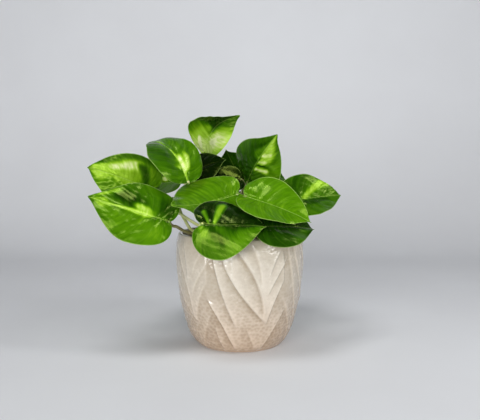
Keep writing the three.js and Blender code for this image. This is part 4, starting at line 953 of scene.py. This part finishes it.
studio = {
    "wall": "#e1e3e6", "floor": "#d8d9dc", "wallBehind": 900.0, "wallBend": 350.0,
    "worldColour": "#dfe3ea", "worldStrength": 0.08,
    # each light: name, place, point it looks at, size across and up, power in W
    "lights": [("skyLeft", (-200, -270, 1020), (0, -40, 180), 260, 400, 3.4),
               ("skyRight", (680, -340, 850), (0, -40, 180), 240, 300, 2.4),
               ("leftBox", (-1000, -1250, 150), (0, 0, 130), 600, 260, 4.4),
               ("rightBox", (1200, -850, 420), (0, 0, 120), 500, 500, 5.0),
               ("frontWindow", (-400, -2300, 660), (0, 0, 120), 1700, 800, 36.0)],
    "cameraPlace": (0, -838, 242), "cameraFocal": 717.0, "cameraDrop": 73.0,  # focal and drop in pixels
    "photoWidth": 480, "sensor": 36.0,
}


def makeStage():
    # a floor carried back and up a quarter circle into a wall behind the plant
    back, bend = studio["wallBehind"], studio["wallBend"]
    a = np.linspace(0, math.pi / 2, 16)
    y = np.concatenate([[-2500, -1200, 0], back - bend + bend * np.sin(a), [back, back]])
    z = np.concatenate([[0, 0, 0], bend - bend * np.cos(a), [1200, 3000]])
    x = np.linspace(-3000, 3000, 9)
    points = np.stack(np.broadcast_arrays(x[None], y[:, None], z[:, None] - 0.02), -1).reshape(-1, 3)
    # Matt studio background paper: even and soft, very faintly clouded.
    material, add = newMaterial("paleStudioPaper")
    place = add("TexCoord", output="Object")
    cloud = add("TexNoise", {"Vector": place, "Scale": 5.0, "Detail": 4.0})
    tint = add("Mix", {0: cloud, 6: studio["floor"], 7: studio["wall"]}, data_type="RGBA")
    shader = add("BsdfPrincipled", {"Base Color": tint, "Roughness": 0.85})
    add("OutputMaterial", {"Surface": shader})
    makeObject("studioSweep", points, [gridFaces(len(y), len(x))], [material])


def makeLights():
    for name, place, target, across, up, power in studio["lights"]:
        data = bpy.data.lights.new(name, "AREA")
        data.shape, data.size, data.size_y, data.energy = "RECTANGLE", across * 0.001, up * 0.001, power
        light = bpy.data.objects.new(name, data)
        bpy.context.scene.collection.objects.link(light)
        light.location = Vector(place) * 0.001
        light.rotation_euler = (Vector(target) - Vector(place)).to_track_quat("-Z", "Y").to_euler()
    world = bpy.data.worlds.new("softStudio")
    bpy.context.scene.world = world
    world.use_nodes = True
    background = world.node_tree.nodes["Background"]
    background.inputs[0].default_value = linearColour(studio["worldColour"])
    background.inputs[1].default_value = studio["worldStrength"]


def makeCamera():
    data = bpy.data.cameras.new("viewpoint")
    data.sensor_width = studio["sensor"]
    data.lens = studio["sensor"] * studio["cameraFocal"] / studio["photoWidth"]
    data.clip_start, data.clip_end = 0.01, 50
    camera = bpy.data.objects.new("viewpoint", data)
    bpy.context.scene.collection.objects.link(camera)
    camera.location = Vector(studio["cameraPlace"]) * 0.001
    camera.rotation_euler = (math.pi / 2 - math.atan(studio["cameraDrop"] / studio["cameraFocal"]), 0, 0)
    bpy.context.scene.camera = camera


makeStage()
makeLights()
makeCamera()
bpy.context.scene.view_settings.view_transform = "Standard"
print("stage, lights and camera made")
